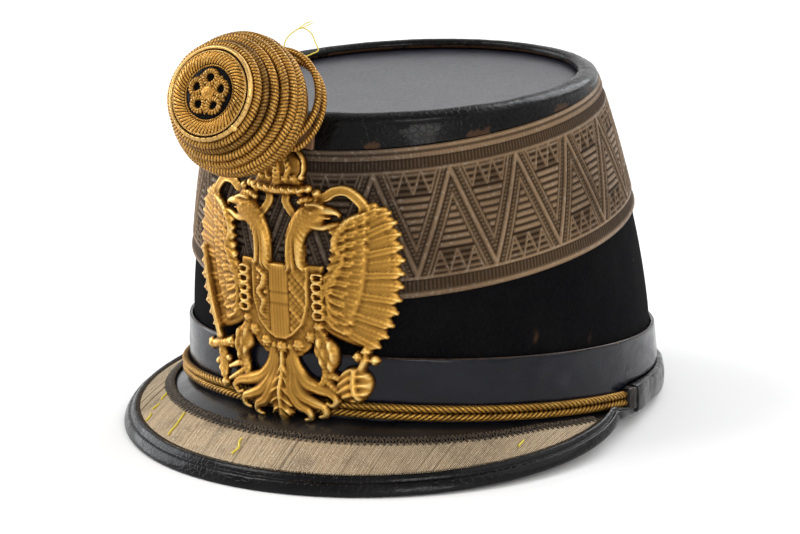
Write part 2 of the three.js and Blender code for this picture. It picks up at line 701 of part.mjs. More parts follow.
function rosetteKnot() {
  const low = ROSETTE.front - 0.6 + GAP;
  const high = low + KNOT.thick;
  const at = (turn, radius, height) =>
    new THREE.Vector3(Math.cos(rad(turn)) * radius, height, Math.sin(rad(turn)) * radius);
  const petals = loft(spread(0, 360, KNOT.petals * 6).slice(0, -1).map((turn) => {
    const lobe = KNOT.reach - KNOT.dip * Math.sin(rad(turn) * KNOT.petals / 2) ** 2;
    const outer = ROSETTE.velvetRadius * lobe;
    const inner = ROSETTE.velvetRadius * KNOT.eye;
    return [
      at(turn, inner, low), at(turn, outer, low), at(turn, outer, mix(low, high, 0.6)),
      at(turn, mix(inner, outer, 0.5), high), at(turn, inner, mix(low, high, 0.6)),
    ];
  }), true);
  const bud = ROSETTE.velvetRadius * KNOT.button;
  const button = lathe([
    { radius: 0, height: low }, { radius: bud, height: low },
    { radius: bud, height: high }, { radius: 0, height: high + KNOT.rise },
  ], 10);
  const web = ROSETTE.velvetRadius * KNOT.eye + KNOT.rise;
  const stem = lathe([
    { radius: 0, height: low }, { radius: web, height: low },
    { radius: web, height: low + KNOT.rise }, { radius: 0, height: low + KNOT.rise },
  ], 10);
  return toGeometry(joined([petals, stem, button]));
}

// The y of the cap's front at a given x and height
function frontFace(x, z, offset) {
  let angle = 0;
  for (let i = 0; i < 12; i += 1) {
    const here = wall(angle, z, offset).x;
    angle += (x - here) / (wall(angle + 1, z, offset).x - here);
  }
  return wall(angle, z, offset).y;
}

// The rosette stands off from the tab, with its centre a set height above the front of the rim
const rosetteUp = rimPoint(0, 0, 0).z + ROSETTE.above;
const rosetteForward = ROSETTE.standoff - wall(0, tabMiddle, tabOuter).y;
const rosettePlace = new THREE.Matrix4()
  .makeRotationX(rad(180 - ROSETTE.lean))
  .setPosition(ROSETTE.sideways, -rosetteForward, rosetteUp);

function rosetteTab() {
  return loft(spread(TAB.centre - TAB.halfAngle, TAB.centre + TAB.halfAngle, 8).map((angle) => [
    wall(angle, tabLow, rimOuter + GAP), wall(angle, tabLow + TAB.height, rimOuter + GAP),
    wall(angle, tabLow + TAB.height, tabOuter), wall(angle, tabLow, tabOuter),
  ]));
}

// A plain post from the back of the coils to the tab
function rosetteShank() {
  const turns = spread(0, 360, 12).slice(0, -1);
  const front = turns.map((turn) => new THREE.Vector3(
    Math.cos(rad(turn)) * ROSETTE.shank, -ROSETTE.back - GAP, -Math.sin(rad(turn)) * ROSETTE.shank)
    .applyMatrix4(rosettePlace));
  const back = turns.map((turn) => {
    const x = ROSETTE.sideways + Math.cos(rad(turn)) * ROSETTE.shank;
    const z = tabMiddle + Math.sin(rad(turn)) * Math.min(ROSETTE.shank, TAB.height / 2 - GAP);
    return new THREE.Vector3(x, frontFace(x, z, tabOuter + GAP), z);
  });
  return loft([front, back]);
}

// Materials and assembly
const finish = (color, roughness, metalness = 0) => ({ color, roughness, metalness });
const FELT = finish(0x0d0d10, 0.95);
const PATENT = finish(0x14161c, 0.22);
const SATIN_LEATHER = finish(0x3c4350, 0.4);
const SILVER_LACE = finish(0x6b5f52, 0.6, 0.4);
const PEAK_LACE = finish(0xa79579, 0.5, 0.4);
const GIMP = finish(0x2a241f, 0.7, 0.2);
const GOLD_CORD = finish(0xb07a1e, 0.45, 0.6);
const GILT = finish(0xc8963c, 0.4, 0.9);
const BROWN_LEATHER = finish(0x4a2b1a, 0.55);
const VELVET = finish(0x060608, 1);

const cap = new THREE.Group();

function add(name, geometry, look, place = null) {
  if (place) {
    geometry.applyMatrix4(place);
  }
  geometry.computeVertexNormals();
  const mesh = new THREE.Mesh(geometry, new THREE.MeshStandardMaterial(look));
  mesh.name = name;
  cap.add(mesh);
}

add("crown_body", crownBody(), FELT);
add("top_disc", topDisc(), SATIN_LEATHER);
add("top_band", topBand(), PATENT);
add("crown_lace", crownLace(), SILVER_LACE);
add("base_band", baseBand(), PATENT);
add("peak_board", peakBoard(), PATENT);
add("peak_lace", peakLace(), PEAK_LACE);
add("peak_gimp", peakGimp(), GIMP);
add("peak_binding", peakBinding(), PATENT);
add("chin_cord_upper", chinCord(1), GOLD_CORD);
add("chin_cord_lower", chinCord(-1), GOLD_CORD);
add("neck_flap", neckFlap(), PATENT);
add("flap_mouth_left", flapMouth(1), BROWN_LEATHER);
add("flap_mouth_right", flapMouth(-1), BROWN_LEATHER);
add("eagle_plate", eaglePlate(), GILT);
add("rosette_coils", rosetteCoils(), GOLD_CORD, rosettePlace);
add("rosette_ring", rosetteRing(), GILT, rosettePlace);
add("rosette_border", rosetteBorder(), GOLD_CORD, rosettePlace);
add("rosette_velvet", rosetteVelvet(), VELVET, rosettePlace);
add("rosette_knot", rosetteKnot(), GILT, rosettePlace);
add("rosette_tab", rosetteTab(), BROWN_LEATHER);
add("rosette_shank", rosetteShank(), GILT);

// The cap is tipped back onto its peak and flap, with the origin at the middle of its box on the floor
cap.rotation.x = -restTilt;
cap.updateMatrixWorld(true);
const box = new THREE.Box3().setFromObject(cap, true);
cap.position.set(-(box.min.x + box.max.x) / 2, -(box.min.y + box.max.y) / 2, -box.min.z);

const kepi = new THREE.Group();
kepi.add(cap);
kepi.updateMatrixWorld(true);

export default kepi;
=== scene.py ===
"""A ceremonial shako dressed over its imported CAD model.

Lengths are millimetres in the cap's own frame until to_row() brings them to the row's frame in metres.
In the cap's frame +Z is up, the front faces -Y, and angles are degrees from the front towards +X.
"""
import bpy
import numpy as np
from mathutils import Matrix, Vector


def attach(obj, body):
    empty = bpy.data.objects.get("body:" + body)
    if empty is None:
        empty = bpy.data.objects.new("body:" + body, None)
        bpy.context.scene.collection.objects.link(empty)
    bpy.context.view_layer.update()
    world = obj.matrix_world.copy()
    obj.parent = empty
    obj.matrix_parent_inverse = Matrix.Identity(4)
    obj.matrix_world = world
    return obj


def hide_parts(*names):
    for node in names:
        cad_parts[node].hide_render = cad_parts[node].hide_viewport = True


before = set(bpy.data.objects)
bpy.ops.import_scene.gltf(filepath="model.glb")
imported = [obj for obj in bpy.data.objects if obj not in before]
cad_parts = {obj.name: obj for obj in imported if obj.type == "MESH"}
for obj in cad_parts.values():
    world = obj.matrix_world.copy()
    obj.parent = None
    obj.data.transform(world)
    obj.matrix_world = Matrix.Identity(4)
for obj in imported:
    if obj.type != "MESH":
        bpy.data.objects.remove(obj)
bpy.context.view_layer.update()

# Sizes, as in the CAD model
GAP = 0.3
HEIGHT, WALL, PLATE_THICK = 116.0, 2.4, 2.0
BASE_HALF, TOP_HALF = (84.5, 99.9), (67.3, 78.5)
TOP_FORWARD, BULGE, EGG = 20.1, (4.6, 3.4), 0.027
RIM_RISE, RIM_SLOPE, RIM_WIDTH, RIM_LEATHER, RIM_ROLL, RIM_SUNK, DISC = 4.5, 0.108, 6.4, 1.2, 2.2, 3.5, 1.4
LACE_BOTTOM, LACE_SLOPE, LACE_TOP_SLOPE, LACE_THICK = 65.2, 0.189, 0.18, 1.2
BAND_TOP, BAND_SLOPE, BAND_THICK = 24.7, -0.029, 1.7
REACH, PEAK_ANGLE, WIDTH_POWER, EDGE_DROP, SIDE_LIFT, DROP_POWER = 33.0, 85.0, 0.52, 16.2, 19.7, 0.57
FALL_POWER, PEAK_THICK, LACE_SKIN, GIMP_WIDTH, GIMP_LINE, GIMP_ANGLE = 1.2, 1.9, 0.9, 2.4, 14.0, 78.0
GIMP_POWER, NARROWEST = 0.6, 1.5
BIND_WIDTH, BIND_HEIGHT, BIND_END_GAP, BIND_END = 4.8, 4.4, 0.6, 0.55
STRAND, CORD_HEIGHT, CORD_RISE = 2.7, 3.3, 0.058
FLAP_LEATHER, FLAP_TOP, FLAP_UNDER, FLAP_ROUND, FLAP_SAG = 1.0, 7.8, 1.2, 0.4, 1.0
MOUTH, MOUTH_WIDTH, SETTLE = 87.0, 2.4, 10.0
LIFT, STROKE_BACK, LEAN, SHIFT, PIVOT, TAIL = 0.5, 0.3, 4.0, 0.6, 50.0, (12.5, 21.0)
ROSETTE_AT, ROSETTE_LEAN, ROSETTE_BACK, SHANK = (-7.2, -123.0, 114.0), 17.0, 19.0, 3.6

# Sizes of the details
CORD_TURN, CORD_SHOWN = 2.1, 93.0
WIRE_PITCH, WIRE_RADIUS, WIRE_SHEET, PANEL_HALF, STITCH_STEP = 0.5, 0.235, 0.42, 89.5, 0.42
PURLS, PURL_SLANT, RING_SEAM = 60, 13.0, 42.0
ORB, SHIELD_TOP, SHIELD_TALL, PALE = (26.8, 17.9, 6.3), 57.4, 24.9, 3.9
UP = np.array([0, 0, 1.0])
REST_TILT, PLACE = np.radians(3.424984), np.array([0.0, 16.36404, 7.72975])

lace_outer = GAP + LACE_THICK
rim_outer = GAP + RIM_LEATHER
band_outer = GAP + BAND_THICK
cord_front = band_outer + GAP + STRAND / 2
cord_rear = GAP + STRAND / 2
cord_outer = cord_front + STRAND / 2
strand_step = STRAND + GAP
pair_half = (strand_step + STRAND) / 2


# Small helpers
def mix(low, high, share):
    return low + (high - low) * share


def smooth(start, end, value):
    share = np.clip((value - start) / (end - start), 0, 1)
    return share * share * (3 - 2 * share)


def sin_deg(angle):
    return np.sin(np.radians(angle))


def cos_deg(angle):
    return np.cos(np.radians(angle))


def unit(v):
    return v / np.maximum(np.linalg.norm(v, axis=-1, keepdims=True), 1e-9)


LATTICE = np.random.default_rng(11).random((32, 32, 32))


def noise(p, scale, shift=0.0):
    """Smooth noise from -1 to 1 at points in mm, with lumps as large as scale, a number or three."""
    q = p / scale + shift
    cell = np.floor(q).astype(int)
    f = q - cell
    f = f * f * (3 - 2 * f)
    total = 0
    for dx in (0, 1):
        for dy in (0, 1):
            for dz in (0, 1):
                weight = (np.abs(1 - dx - f[..., 0]) * np.abs(1 - dy - f[..., 1])
                          * np.abs(1 - dz - f[..., 2]))
                total = total + weight * LATTICE[
                    (cell[..., 0] + dx) % 32, (cell[..., 1] + dy) % 32, (cell[..., 2] + dz) % 32]
    return total * 2 - 1


def wall(angle, z, offset=0.0):
    """A point at an angle and height on the side of the crown, moved outwards by an offset."""
    angle, z, offset = np.broadcast_arrays(
        np.asarray(angle, float), np.asarray(z, float), np.asarray(offset, float))
    share = z / HEIGHT
    bow = 4 * share * (1 - share)
    a = mix(BASE_HALF[0], TOP_HALF[0], share) + BULGE[0] * bow + offset
    b = mix(BASE_HALF[1], TOP_HALF[1], share) + BULGE[1] * bow + offset
    s, c = sin_deg(angle), cos_deg(angle)
    return np.stack([a * s * (1 - EGG * c), -TOP_FORWARD * share - b * c, z], -1)


def on_plane(angle, level, slope, offset):
    """Where the side crosses a plane that is level across the cap and slopes from front to back."""
    z = np.zeros_like(np.asarray(angle, float) + offset) + level
    for _ in range(10):
        z = level + slope * wall(angle, z, offset)[..., 1]
    return wall(angle, z, offset)


def rim_point(angle, height, offset):
    """A point at a height above the rim's crest."""
    return on_plane(angle, HEIGHT + RIM_RISE + height, RIM_SLOPE, offset)


def lace_top(angle, offset):
    """The height of the lace's upper edge, which the rim pushes down at the back."""
    plane = on_plane(angle, HEIGHT, LACE_TOP_SLOPE, offset)[..., 2]
    return np.minimum(plane, rim_point(angle, -RIM_ROLL - 2 * GAP, offset)[..., 2])


def to_row(p):
    """Tips points back to how the cap rests and brings them to the row's frame, in metres."""
    c, s = np.cos(REST_TILT), np.sin(REST_TILT)
    x, y, z = p[..., 0], p[..., 1], p[..., 2]
    return (np.stack([x, y * c + z * s, z * c - y * s], -1) + PLACE) / 1000


# Mesh building. A part is (points, quads, triangles, {attribute: values}).
def flat_data(data, shape):
    """Attribute values for each point of a grid, numbers or vectors."""
    out = {}
    for key, value in data.items():
        value = np.asarray(value, float)
        wide = value.ndim > len(shape) or (value.ndim == 1 and len(shape) == 1 and value.shape != shape)
        out[key] = (np.broadcast_to(value, shape + (3,)).reshape(-1, 3) if wide
                    else np.broadcast_to(value, shape).ravel())
    return out


def outward(points, quads, tris):
    """Turns the faces round if a closed part's volume comes out negative."""
    a, b, c, d = (points[quads[:, k]] for k in range(4)) if len(quads) else (np.zeros((0, 3)),) * 4
    total = np.einsum("ij,ij->", a, np.cross(b, c)) + np.einsum("ij,ij->", a, np.cross(c, d))
    if len(tris):
        a, b, c = (points[tris[:, k]] for k in range(3))
        total += np.einsum("ij,ij->", a, np.cross(b, c))
    if total < 0:
        return quads[:, ::-1], tris[:, ::-1]
    return quads, tris


def skin(grid, loop_i=False, loop_j=True, caps=True, **data):
    """Joins a grid of points (rows i, section j) with quads. The ends of a closed section are capped."""
    n, m = grid.shape[:2]
    index = np.arange(n * m).reshape(n, m)
    here, after = (index, np.roll(index, -1, 0)) if loop_i else (index[:-1], index[1:])
    if loop_j:
        quads = np.stack([here, after, np.roll(after, -1, 1), np.roll(here, -1, 1)], -1).reshape(-1, 4)
    else:
        quads = np.stack([here[:, :-1], after[:, :-1], after[:, 1:], here[:, 1:]], -1).reshape(-1, 4)
    points = grid.reshape(-1, 3)
    values = flat_data(data, (n, m))
    tris = np.zeros((0, 3), int)
    ends = []
    if caps and loop_j and not loop_i:
        ends = [(index[0], grid[0].mean(0), True), (index[-1], grid[-1].mean(0), False)]
    if caps and loop_i and not loop_j:
        ends = [(index[:, 0], grid[:, 0].mean(0), False), (index[:, -1], grid[:, -1].mean(0), True)]
    for ring, centre, first in ends:
        pole = len(points)
        points = np.concatenate([points, centre[None]])
        fan = np.stack([np.full(len(ring), pole), ring, np.roll(ring, -1)], -1)
        tris = np.concatenate([tris, fan if first else fan[:, ::-1]])
        values = {key: np.concatenate([value, value[ring].mean(0, keepdims=True)])
                  for key, value in values.items()}
    if caps or (loop_i and loop_j):
        quads, tris = outward(points, quads, tris)
    return points, quads, tris, values


def rounded(section, radius, samples=3):
    """Rounds the corners of closed sections (rows i, corners j)."""
    before, after = np.roll(section, 1, 1) - section, np.roll(section, -1, 1) - section
    reach = [side * np.minimum(radius / np.maximum(np.linalg.norm(side, axis=-1, keepdims=True), 1e-9), 0.45)
             for side in (before, after)]
    out = [section + reach[0] * (1 - t) ** 2 + reach[1] * t ** 2 for t in np.linspace(0, 1, samples)]
    return np.stack(out, 2).reshape(len(section), -1, 3)


def swollen(grid, amount):
    """Moves the points of sections away from the sections' middles."""
    return grid + unit(grid - grid.mean(1, keepdims=True)) * amount[..., None]


def curve(rows, count):
    """A smooth row of points through short rows of numbers (Catmull-Rom)."""
    rows = np.asarray(rows, float)
    padded = np.concatenate([2 * rows[:1] - rows[1:2], rows, 2 * rows[-1:] - rows[-2:-1]])
    t = np.linspace(0, len(rows) - 1, count)
    k = np.minimum(t.astype(int), len(rows) - 2)
    f = (t - k)[:, None]
    a, b, c, d = (padded[k + i] for i in range(4))
    return 0.5 * (2 * b + (c - a) * f + (2 * a - 5 * b + 4 * c - d) * f ** 2
                  + (3 * b - a - 3 * c + d) * f ** 3)


def run_along(path):
    return np.concatenate([[0], np.cumsum(np.linalg.norm(np.diff(path, axis=0), axis=1))])


def tube(path, along, up, theta, radius):
    """A grid of points round a path, at angles theta and with a radius for each point."""
    along = unit(along)
    side = unit(np.cross(along, up))
    over = np.cross(side, along)
    return (path[:, None] + side[:, None] * (np.cos(theta) * radius)[..., None]
            + over[:, None] * (np.sin(theta) * radius)[..., None])


def rope(path, radius, sides, loop=False, plies=0, spacing=1.0, depth=0.15, turn=1, up=UP,
         facing=0.0, **data):
    """A round cord on a path. Plies give it twisted ridges that lie spacing apart along it, and the attribute
    high paints shade in their furrows. The flank shade amount paints shade on the cord's sides and underside.
    """
    path = np.asarray(path, float)
    along = np.roll(path, -1, 0) - np.roll(path, 1, 0) if loop else np.gradient(path, axis=0)
    run = np.cumsum(np.linalg.norm(path - np.roll(path, 1, 0), axis=1)) if loop else run_along(path)
    if loop and plies:
        run = run * np.round(run[-1] / spacing) * spacing / run[-1]
    theta = np.arange(sides) * 2 * np.pi / sides
    ridge = np.ones((len(path), sides))
    if plies:
        phase = plies * theta[None, :] / 2 - turn * np.pi * run[:, None] / spacing
        ridge = np.abs(np.cos(phase))
    r = np.broadcast_to(np.asarray(radius, float), (len(path),))[:, None]
    r = r * (1 - depth * (1 - np.sqrt(ridge)))
    grid = tube(path, along, up, theta, r)
    extra = {key: np.broadcast_to(np.asarray(value, float), (len(path),))[:, None] * np.ones((1, sides))
             for key, value in data.items()}
    # Painted shade: the cord's sides and underside are darkened in the attribute high, as if lit from above.
    ridge = ridge * (1 - facing * smooth(0.85, -0.1, np.sin(theta)))
    return skin(grid, loop_i=loop, loop_j=True, high=ridge, **extra)


def build(name, parts, material, nodes=()):
    """Makes one piece on the body root, in place of its CAD nodes."""
    points = np.concatenate([part[0] for part in parts])
    starts = np.cumsum([0] + [len(part[0]) for part in parts[:-1]])
    quads = np.concatenate([part[1] + at for part, at in zip(parts, starts)])
    tris = np.concatenate([part[2] + at for part, at in zip(parts, starts)])
    mesh = bpy.data.meshes.new(name)
    mesh.vertices.add(len(points))
    mesh.vertices.foreach_set("co", to_row(points).astype(np.float32).ravel())
    corners = np.concatenate([quads.ravel(), tris.ravel()]).astype(np.int32)
    mesh.loops.add(len(corners))
    mesh.loops.foreach_set("vertex_index", corners)
    first = np.concatenate([np.arange(len(quads)) * 4, len(quads) * 4 + np.arange(len(tris)) * 3])
    mesh.polygons.add(len(first))
    mesh.polygons.foreach_set("loop_start", first.astype(np.int32))
    mesh.update(calc_edges=True)
    mesh.polygons.foreach_set("use_smooth", np.full(len(first), True))
    for key in sorted({key for part in parts for key in part[3]}):
        wide = any(part[3][key].ndim == 2 for part in parts if key in part[3])
        values = np.concatenate([part[3].get(key, np.zeros((len(part[0]), 3)[:1 + wide])) for part in parts])
        attribute = mesh.attributes.new(key, "FLOAT_VECTOR" if wide else "FLOAT", "POINT")
        attribute.data.foreach_set("vector" if wide else "value", values.astype(np.float32).ravel())
    mesh.validate()
    mesh.materials.append(material)
    piece = bpy.data.objects.new(name, mesh)
    bpy.context.scene.collection.objects.link(piece)
    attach(piece, "root")
    if nodes:
        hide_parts(*nodes)


# Materials
class Look:
    """A small writer of node trees, whose socket values are numbers, colours or other nodes' outputs."""

    def __init__(self, name, color, roughness, metallic=0.0, **extra):
        self.material = bpy.data.materials.new(name)
        self.material.use_nodes = True
        self.tree = self.material.node_tree
        self.shader = self.tree.nodes["Principled BSDF"]
        self.at = self.node("ShaderNodeTexCoord", out="Object")
        self.set(self.shader, {"Base Color": color, "Roughness": roughness, "Metallic": metallic, **extra})

    def set(self, node, values):
        for key, value in values.items():
            socket = node.inputs[key]
            if isinstance(value, bpy.types.NodeSocket):
                self.tree.links.new(value, socket)
            elif isinstance(value, (tuple, list)) and socket.type == "RGBA" and len(value) == 3:
                socket.default_value = (*value, 1)
            else:
                socket.default_value = value

    def node(self, kind, values=None, out=0, **settings):
        node = self.tree.nodes.new(kind)
        for key, value in settings.items():
            setattr(node, key, value)
        self.set(node, values or {})
        return node.outputs[out]

    def attribute(self, name, vector=False):
        return self.node("ShaderNodeAttribute", attribute_name=name, out="Vector" if vector else "Fac")

    def stretch(self, *scale):
        return self.node("ShaderNodeMapping", {"Vector": self.at, "Scale": scale})

    def noise(self, scale, detail, vector=None):
        values = {"Vector": vector or self.at, "Scale": scale, "Detail": detail, "Roughness": 0.55}
        return self.node("ShaderNodeTexNoise", values, out="Fac")

    def cells(self, scale, kind, vector=None):
        values = {"Vector": vector or self.at, "Scale": scale}
        return self.node("ShaderNodeTexVoronoi", values, out="Distance", feature=kind)

    def ramp(self, value, low, high, start=0.0, end=1.0):
        values = {"Value": value, "From Min": low, "From Max": high, "To Min": start, "To Max": end}
        return self.node("ShaderNodeMapRange", values, out="Result")

    def spots(self, scale, detail, low, high, most=1.0):
        """Noise cut to a share from 0 to most."""
        return self.ramp(self.noise(scale, detail), low, high, 0, most)

    def math(self, operation, a, b):
        return self.node("ShaderNodeMath", {0: a, 1: b}, operation=operation)

    def blend(self, share, a, b):
        node = self.tree.nodes.new("ShaderNodeMix")
        node.data_type = "RGBA"
        sockets = {s.identifier: s for s in node.inputs}
        for key, value in (("Factor_Float", share), ("A_Color", a), ("B_Color", b)):
            if isinstance(value, bpy.types.NodeSocket):
                self.tree.links.new(value, sockets[key])
            else:
                sockets[key].default_value = (*value, 1) if isinstance(value, (tuple, list)) else value
        return next(s for s in node.outputs if s.identifier == "Result_Color")

    def layers(self, base, *rows):
        """Lays colours over a base. Each row is (share, colour)."""
        for share, color in rows:
            base = self.blend(share, base, color)
        self.set(self.shader, {"Base Color": base})

    def bump(self, *layers):
        """Each layer is (height, depth in mm)."""
        normal = None
        for height, depth in layers:
            values = {"Height": height, "Distance": depth / 1000, "Strength": 1.0}
            if normal is not None:
                values["Normal"] = normal
            normal = self.node("ShaderNodeBump", values, out="Normal")
        self.set(self.shader, {"Normal": normal})
        return self.material

    def weave(self, vector, scale, axis):
        return self.node("ShaderNodeTexWave", {"Vector": vector, "Scale": scale}, out="Fac",
                         wave_type="BANDS", bands_direction=axis, wave_profile="SIN")

    def roughness(self, value):
        self.set(self.shader, {"Roughness": value})


def felt_look():
    look = Look("black_felt", (0.01, 0.01, 0.012), 0.95, **{
        "Sheen Weight": 0.015, "Sheen Roughness": 0.5, "Sheen Tint": (0.55, 0.56, 0.62),
        "Specular IOR Level": 0.02})
    fibre, patch = look.noise(1500, 4, look.stretch(1, 1, 0.45)), look.noise(45, 3)
    lint = look.ramp(look.cells(190, "F1", look.stretch(1, 1, 0.35)), 0.045, 0.02)
    look.layers((0.0022, 0.002, 0.0025),
                (look.ramp(patch, 0.35, 0.7), (0.0045, 0.0042, 0.0046)),
                (look.ramp(fibre, 0.45, 0.8, 0, 0.4), (0.013, 0.012, 0.013)),
                (look.math("MULTIPLY", lint, look.spots(120, 1, 0.52, 0.6)), (0.2, 0.19, 0.2)),
                (look.attribute("wear"), (0.05, 0.028, 0.015)))
    return look.bump((fibre, 0.22), (patch, 0.5))


def patent_look(name, base, sheen, rough, crackle, gloss):
    """Patent leather, brown and dull where the attribute wear says so."""
    look = Look(name, base, 0.2, **{
        "Coat Weight": gloss, "Coat Roughness": 0.08, "Coat IOR": 1.5, "Specular IOR Level": gloss})
    cracks = look.ramp(look.cells(420, "DISTANCE_TO_EDGE"), 0.0, 0.09)
    grain, broad = look.noise(900, 4), look.noise(60, 4, look.stretch(1, 1, 2.2))
    uneven = look.ramp(look.noise(350, 4), 0.3, 0.75, -0.22, 0.22)
    worn = look.ramp(look.math("ADD", look.attribute("wear"), uneven), 0.5, 0.72)
    look.layers(base, (look.ramp(broad, 0.35, 0.7), sheen), (worn, (0.045, 0.022, 0.011)))
    look.roughness(look.math("ADD", look.ramp(broad, 0.3, 0.72, *rough), look.math("MULTIPLY", worn, 0.3)))
    return look.bump((cracks, crackle), (grain, 0.05), (broad, 0.35))


def lace_look():
    """Metal lace, dark in its hollows as painted shade, whose threads follow the attribute cloth."""
    look = Look("tarnished_lace", (0.3, 0.26, 0.21), 0.42, 0.4, **{"Specular IOR Level": 0.12})
    cloth, high, tint = look.attribute("cloth", vector=True), look.attribute("high"), look.attribute("tint")
    threads = look.math("MULTIPLY", look.weave(cloth, 0.9, "X"), look.weave(cloth, 0.75, "Y"))
    # Painted shade: where tint is low, near the front and at the far right, the lace is darker.
    top = look.blend(tint, (0.22, 0.16, 0.115), (0.49, 0.32, 0.18))
    top = look.blend(look.spots(30, 4, 0.45, 0.75, 0.7), top, (0.19, 0.115, 0.065))
    top = look.blend(look.spots(700, 3, 0.55, 0.75, 0.7), top, (0.68, 0.6, 0.5))
    # Painted shade: where the attribute high is low, in the hollows, the lace is near black.
    look.layers(look.blend(tint, (0.008, 0.0045, 0.003), (0.034, 0.018, 0.008)),
                (high, top), (look.ramp(threads, 0.35, 0.0, 0, 0.6), (0.03, 0.017, 0.009)))
    look.roughness(look.ramp(high, 0, 1, 0.75, 0.36))
    return look.bump((threads, 0.26), (look.noise(900, 3), 0.16))


def thread_look(name, deep, bright, glint, rough=0.34, metal=0.85):
    """Metal thread: dark in its furrows and bright on its ridges, as painted shade and painted glints that
    follow the attribute high.
    """
    look = Look(name, bright, rough, metal)
    high, fine = look.attribute("high"), look.noise(1600, 2)
    # Painted light: high picks the deep tone in furrows and on shaded flanks and the bright tone on ridges,
    # and glint adds painted highlights on the ridges; the spots are random darker tone, and tint darkens some
    # parts at random and paints shade on others.
    look.layers(deep, (look.ramp(high, 0.2, 0.85), bright),
                (look.spots(90, 3, 0.5, 0.75, 0.6), deep),
                (look.math("MULTIPLY", look.ramp(fine, 0.52, 0.68, 0, 0.7), high), glint),
                (look.attribute("tint"), deep))
    look.roughness(look.ramp(high, 0.2, 1, rough + 0.3, rough))
    return look.bump((fine, 0.08), (look.noise(600, 2), 0.12))


def gilt_look():
    look = Look("matte_gilt", (0.82, 0.5, 0.14), 0.36, 1.0)
    high, patch, fine = look.attribute("high"), look.noise(70, 4), look.noise(1300, 4)
    # Painted light: the attribute high gives recesses a painted shade, the deep base, and the highest relief
    # a painted highlight; the patch and fine noise add random darker tone.
    look.layers((0.065, 0.022, 0.0035),
                (look.ramp(high, 0.2, 0.75), (0.56, 0.3, 0.06)),
                (look.ramp(high, 0.7, 1.0, 0, 0.7), (0.9, 0.66, 0.26)),
                (look.ramp(patch, 0.45, 0.75, 0, 0.45), (0.3, 0.135, 0.025)),
                (look.ramp(fine, 0.5, 0.7, 0, 0.35), (0.26, 0.12, 0.02)))
    dull = look.math("ADD", patch, look.math("MULTIPLY", high, -0.4))
    look.roughness(look.ramp(dull, -0.1, 0.8, 0.34, 0.56))
    return look.bump((fine, 0.12), (look.noise(500, 3), 0.16), (patch, 0.12))


def plain_look(name, base, other, rough, scale, depth, **extra):
    look = Look(name, base, rough, **extra)
    grain = look.noise(scale, 4)
    look.layers(base, (look.spots(scale / 8, 3, 0.35, 0.7), other),
                (look.attribute("wear"), (0.17, 0.085, 0.035)))
    look.roughness(look.ramp(grain, 0.3, 0.7, rough - 0.06, rough + 0.08))
    return look.bump((grain, depth), (look.noise(scale / 5, 3), depth * 3))


FELT = felt_look()
PATENT = patent_look(
    "patent_leather", (0.0018, 0.0018, 0.002), (0.005, 0.0042, 0.004), (0.13, 0.34), 0.06, 0.08)
BAND_LEATHER = patent_look(
    "band_leather", (0.0018, 0.0022, 0.0048), (0.005, 0.0055, 0.011), (0.14, 0.34), 0.02, 0.14)
BOARD_LEATHER = patent_look(
    "board_leather", (0.004, 0.004, 0.005), (0.011, 0.01, 0.011), (0.24, 0.44), 0.02, 0.4)
BINDING_LEATHER = patent_look(
    "binding_leather", (0.0015, 0.0015, 0.002), (0.0045, 0.0042, 0.005), (0.12, 0.32), 0.06, 0.11)
LIP = patent_look("lip_leather", (0.003, 0.002, 0.002), (0.012, 0.006, 0.004), (0.2, 0.4), 0.05, 0.12)
SATIN = plain_look("satin_leather", (0.01, 0.0105, 0.0175), (0.019, 0.02, 0.031), 0.33, 900, 0.03, **{
    "Coat Weight": 0.16, "Coat Roughness": 0.25, "Specular IOR Level": 0.52})
LACE = lace_look()
WIRES = thread_look("pale_gilt_wire", (0.12, 0.08, 0.045), (0.64, 0.49, 0.31), (0.9, 0.8, 0.64), 0.42, 0.45)
GIMP = thread_look("dark_gimp", (0.004, 0.003, 0.002), (0.06, 0.043, 0.028), (0.26, 0.19, 0.12), 0.5, 0.3)
GOLD = thread_look("gold_thread", (0.024, 0.008, 0.0015), (0.45, 0.215, 0.034), (0.92, 0.62, 0.2))
CORD_GOLD = thread_look("cord_gold", (0.02, 0.007, 0.001), (0.36, 0.18, 0.026), (0.8, 0.52, 0.13), 0.38)
BRIGHT = thread_look("bright_gold", (0.12, 0.05, 0.008), (0.7, 0.43, 0.13), (0.95, 0.75, 0.38), 0.34, 1.0)
GILT = gilt_look()
BROWN = plain_look("brown_leather", (0.075, 0.032, 0.014), (0.13, 0.06, 0.028), 0.5, 1200, 0.05)
CORE = plain_look("rosette_core", (0.035, 0.014, 0.006), (0.06, 0.025, 0.01), 0.85, 1500, 0.1)
VELVET = plain_look("black_velvet", (0.004, 0.004, 0.005), (0.008, 0.007, 0.008), 0.95, 2600, 0.2, **{
    "Sheen Weight": 0.3, "Sheen Roughness": 0.35, "Sheen Tint": (0.5, 0.5, 0.55), "Specular IOR Level": 0.1})
SILK = plain_look("yellow_silk", (0.62, 0.5, 0.03), (0.75, 0.62, 0.08), 0.45, 1800, 0.03, **{
    "Sheen Weight": 0.2, "Sheen Roughness": 0.4})


# Crown: the felt, its sunken disc, its rim and the strip below the rim
AROUND = np.arange(0, 360, 1.0)


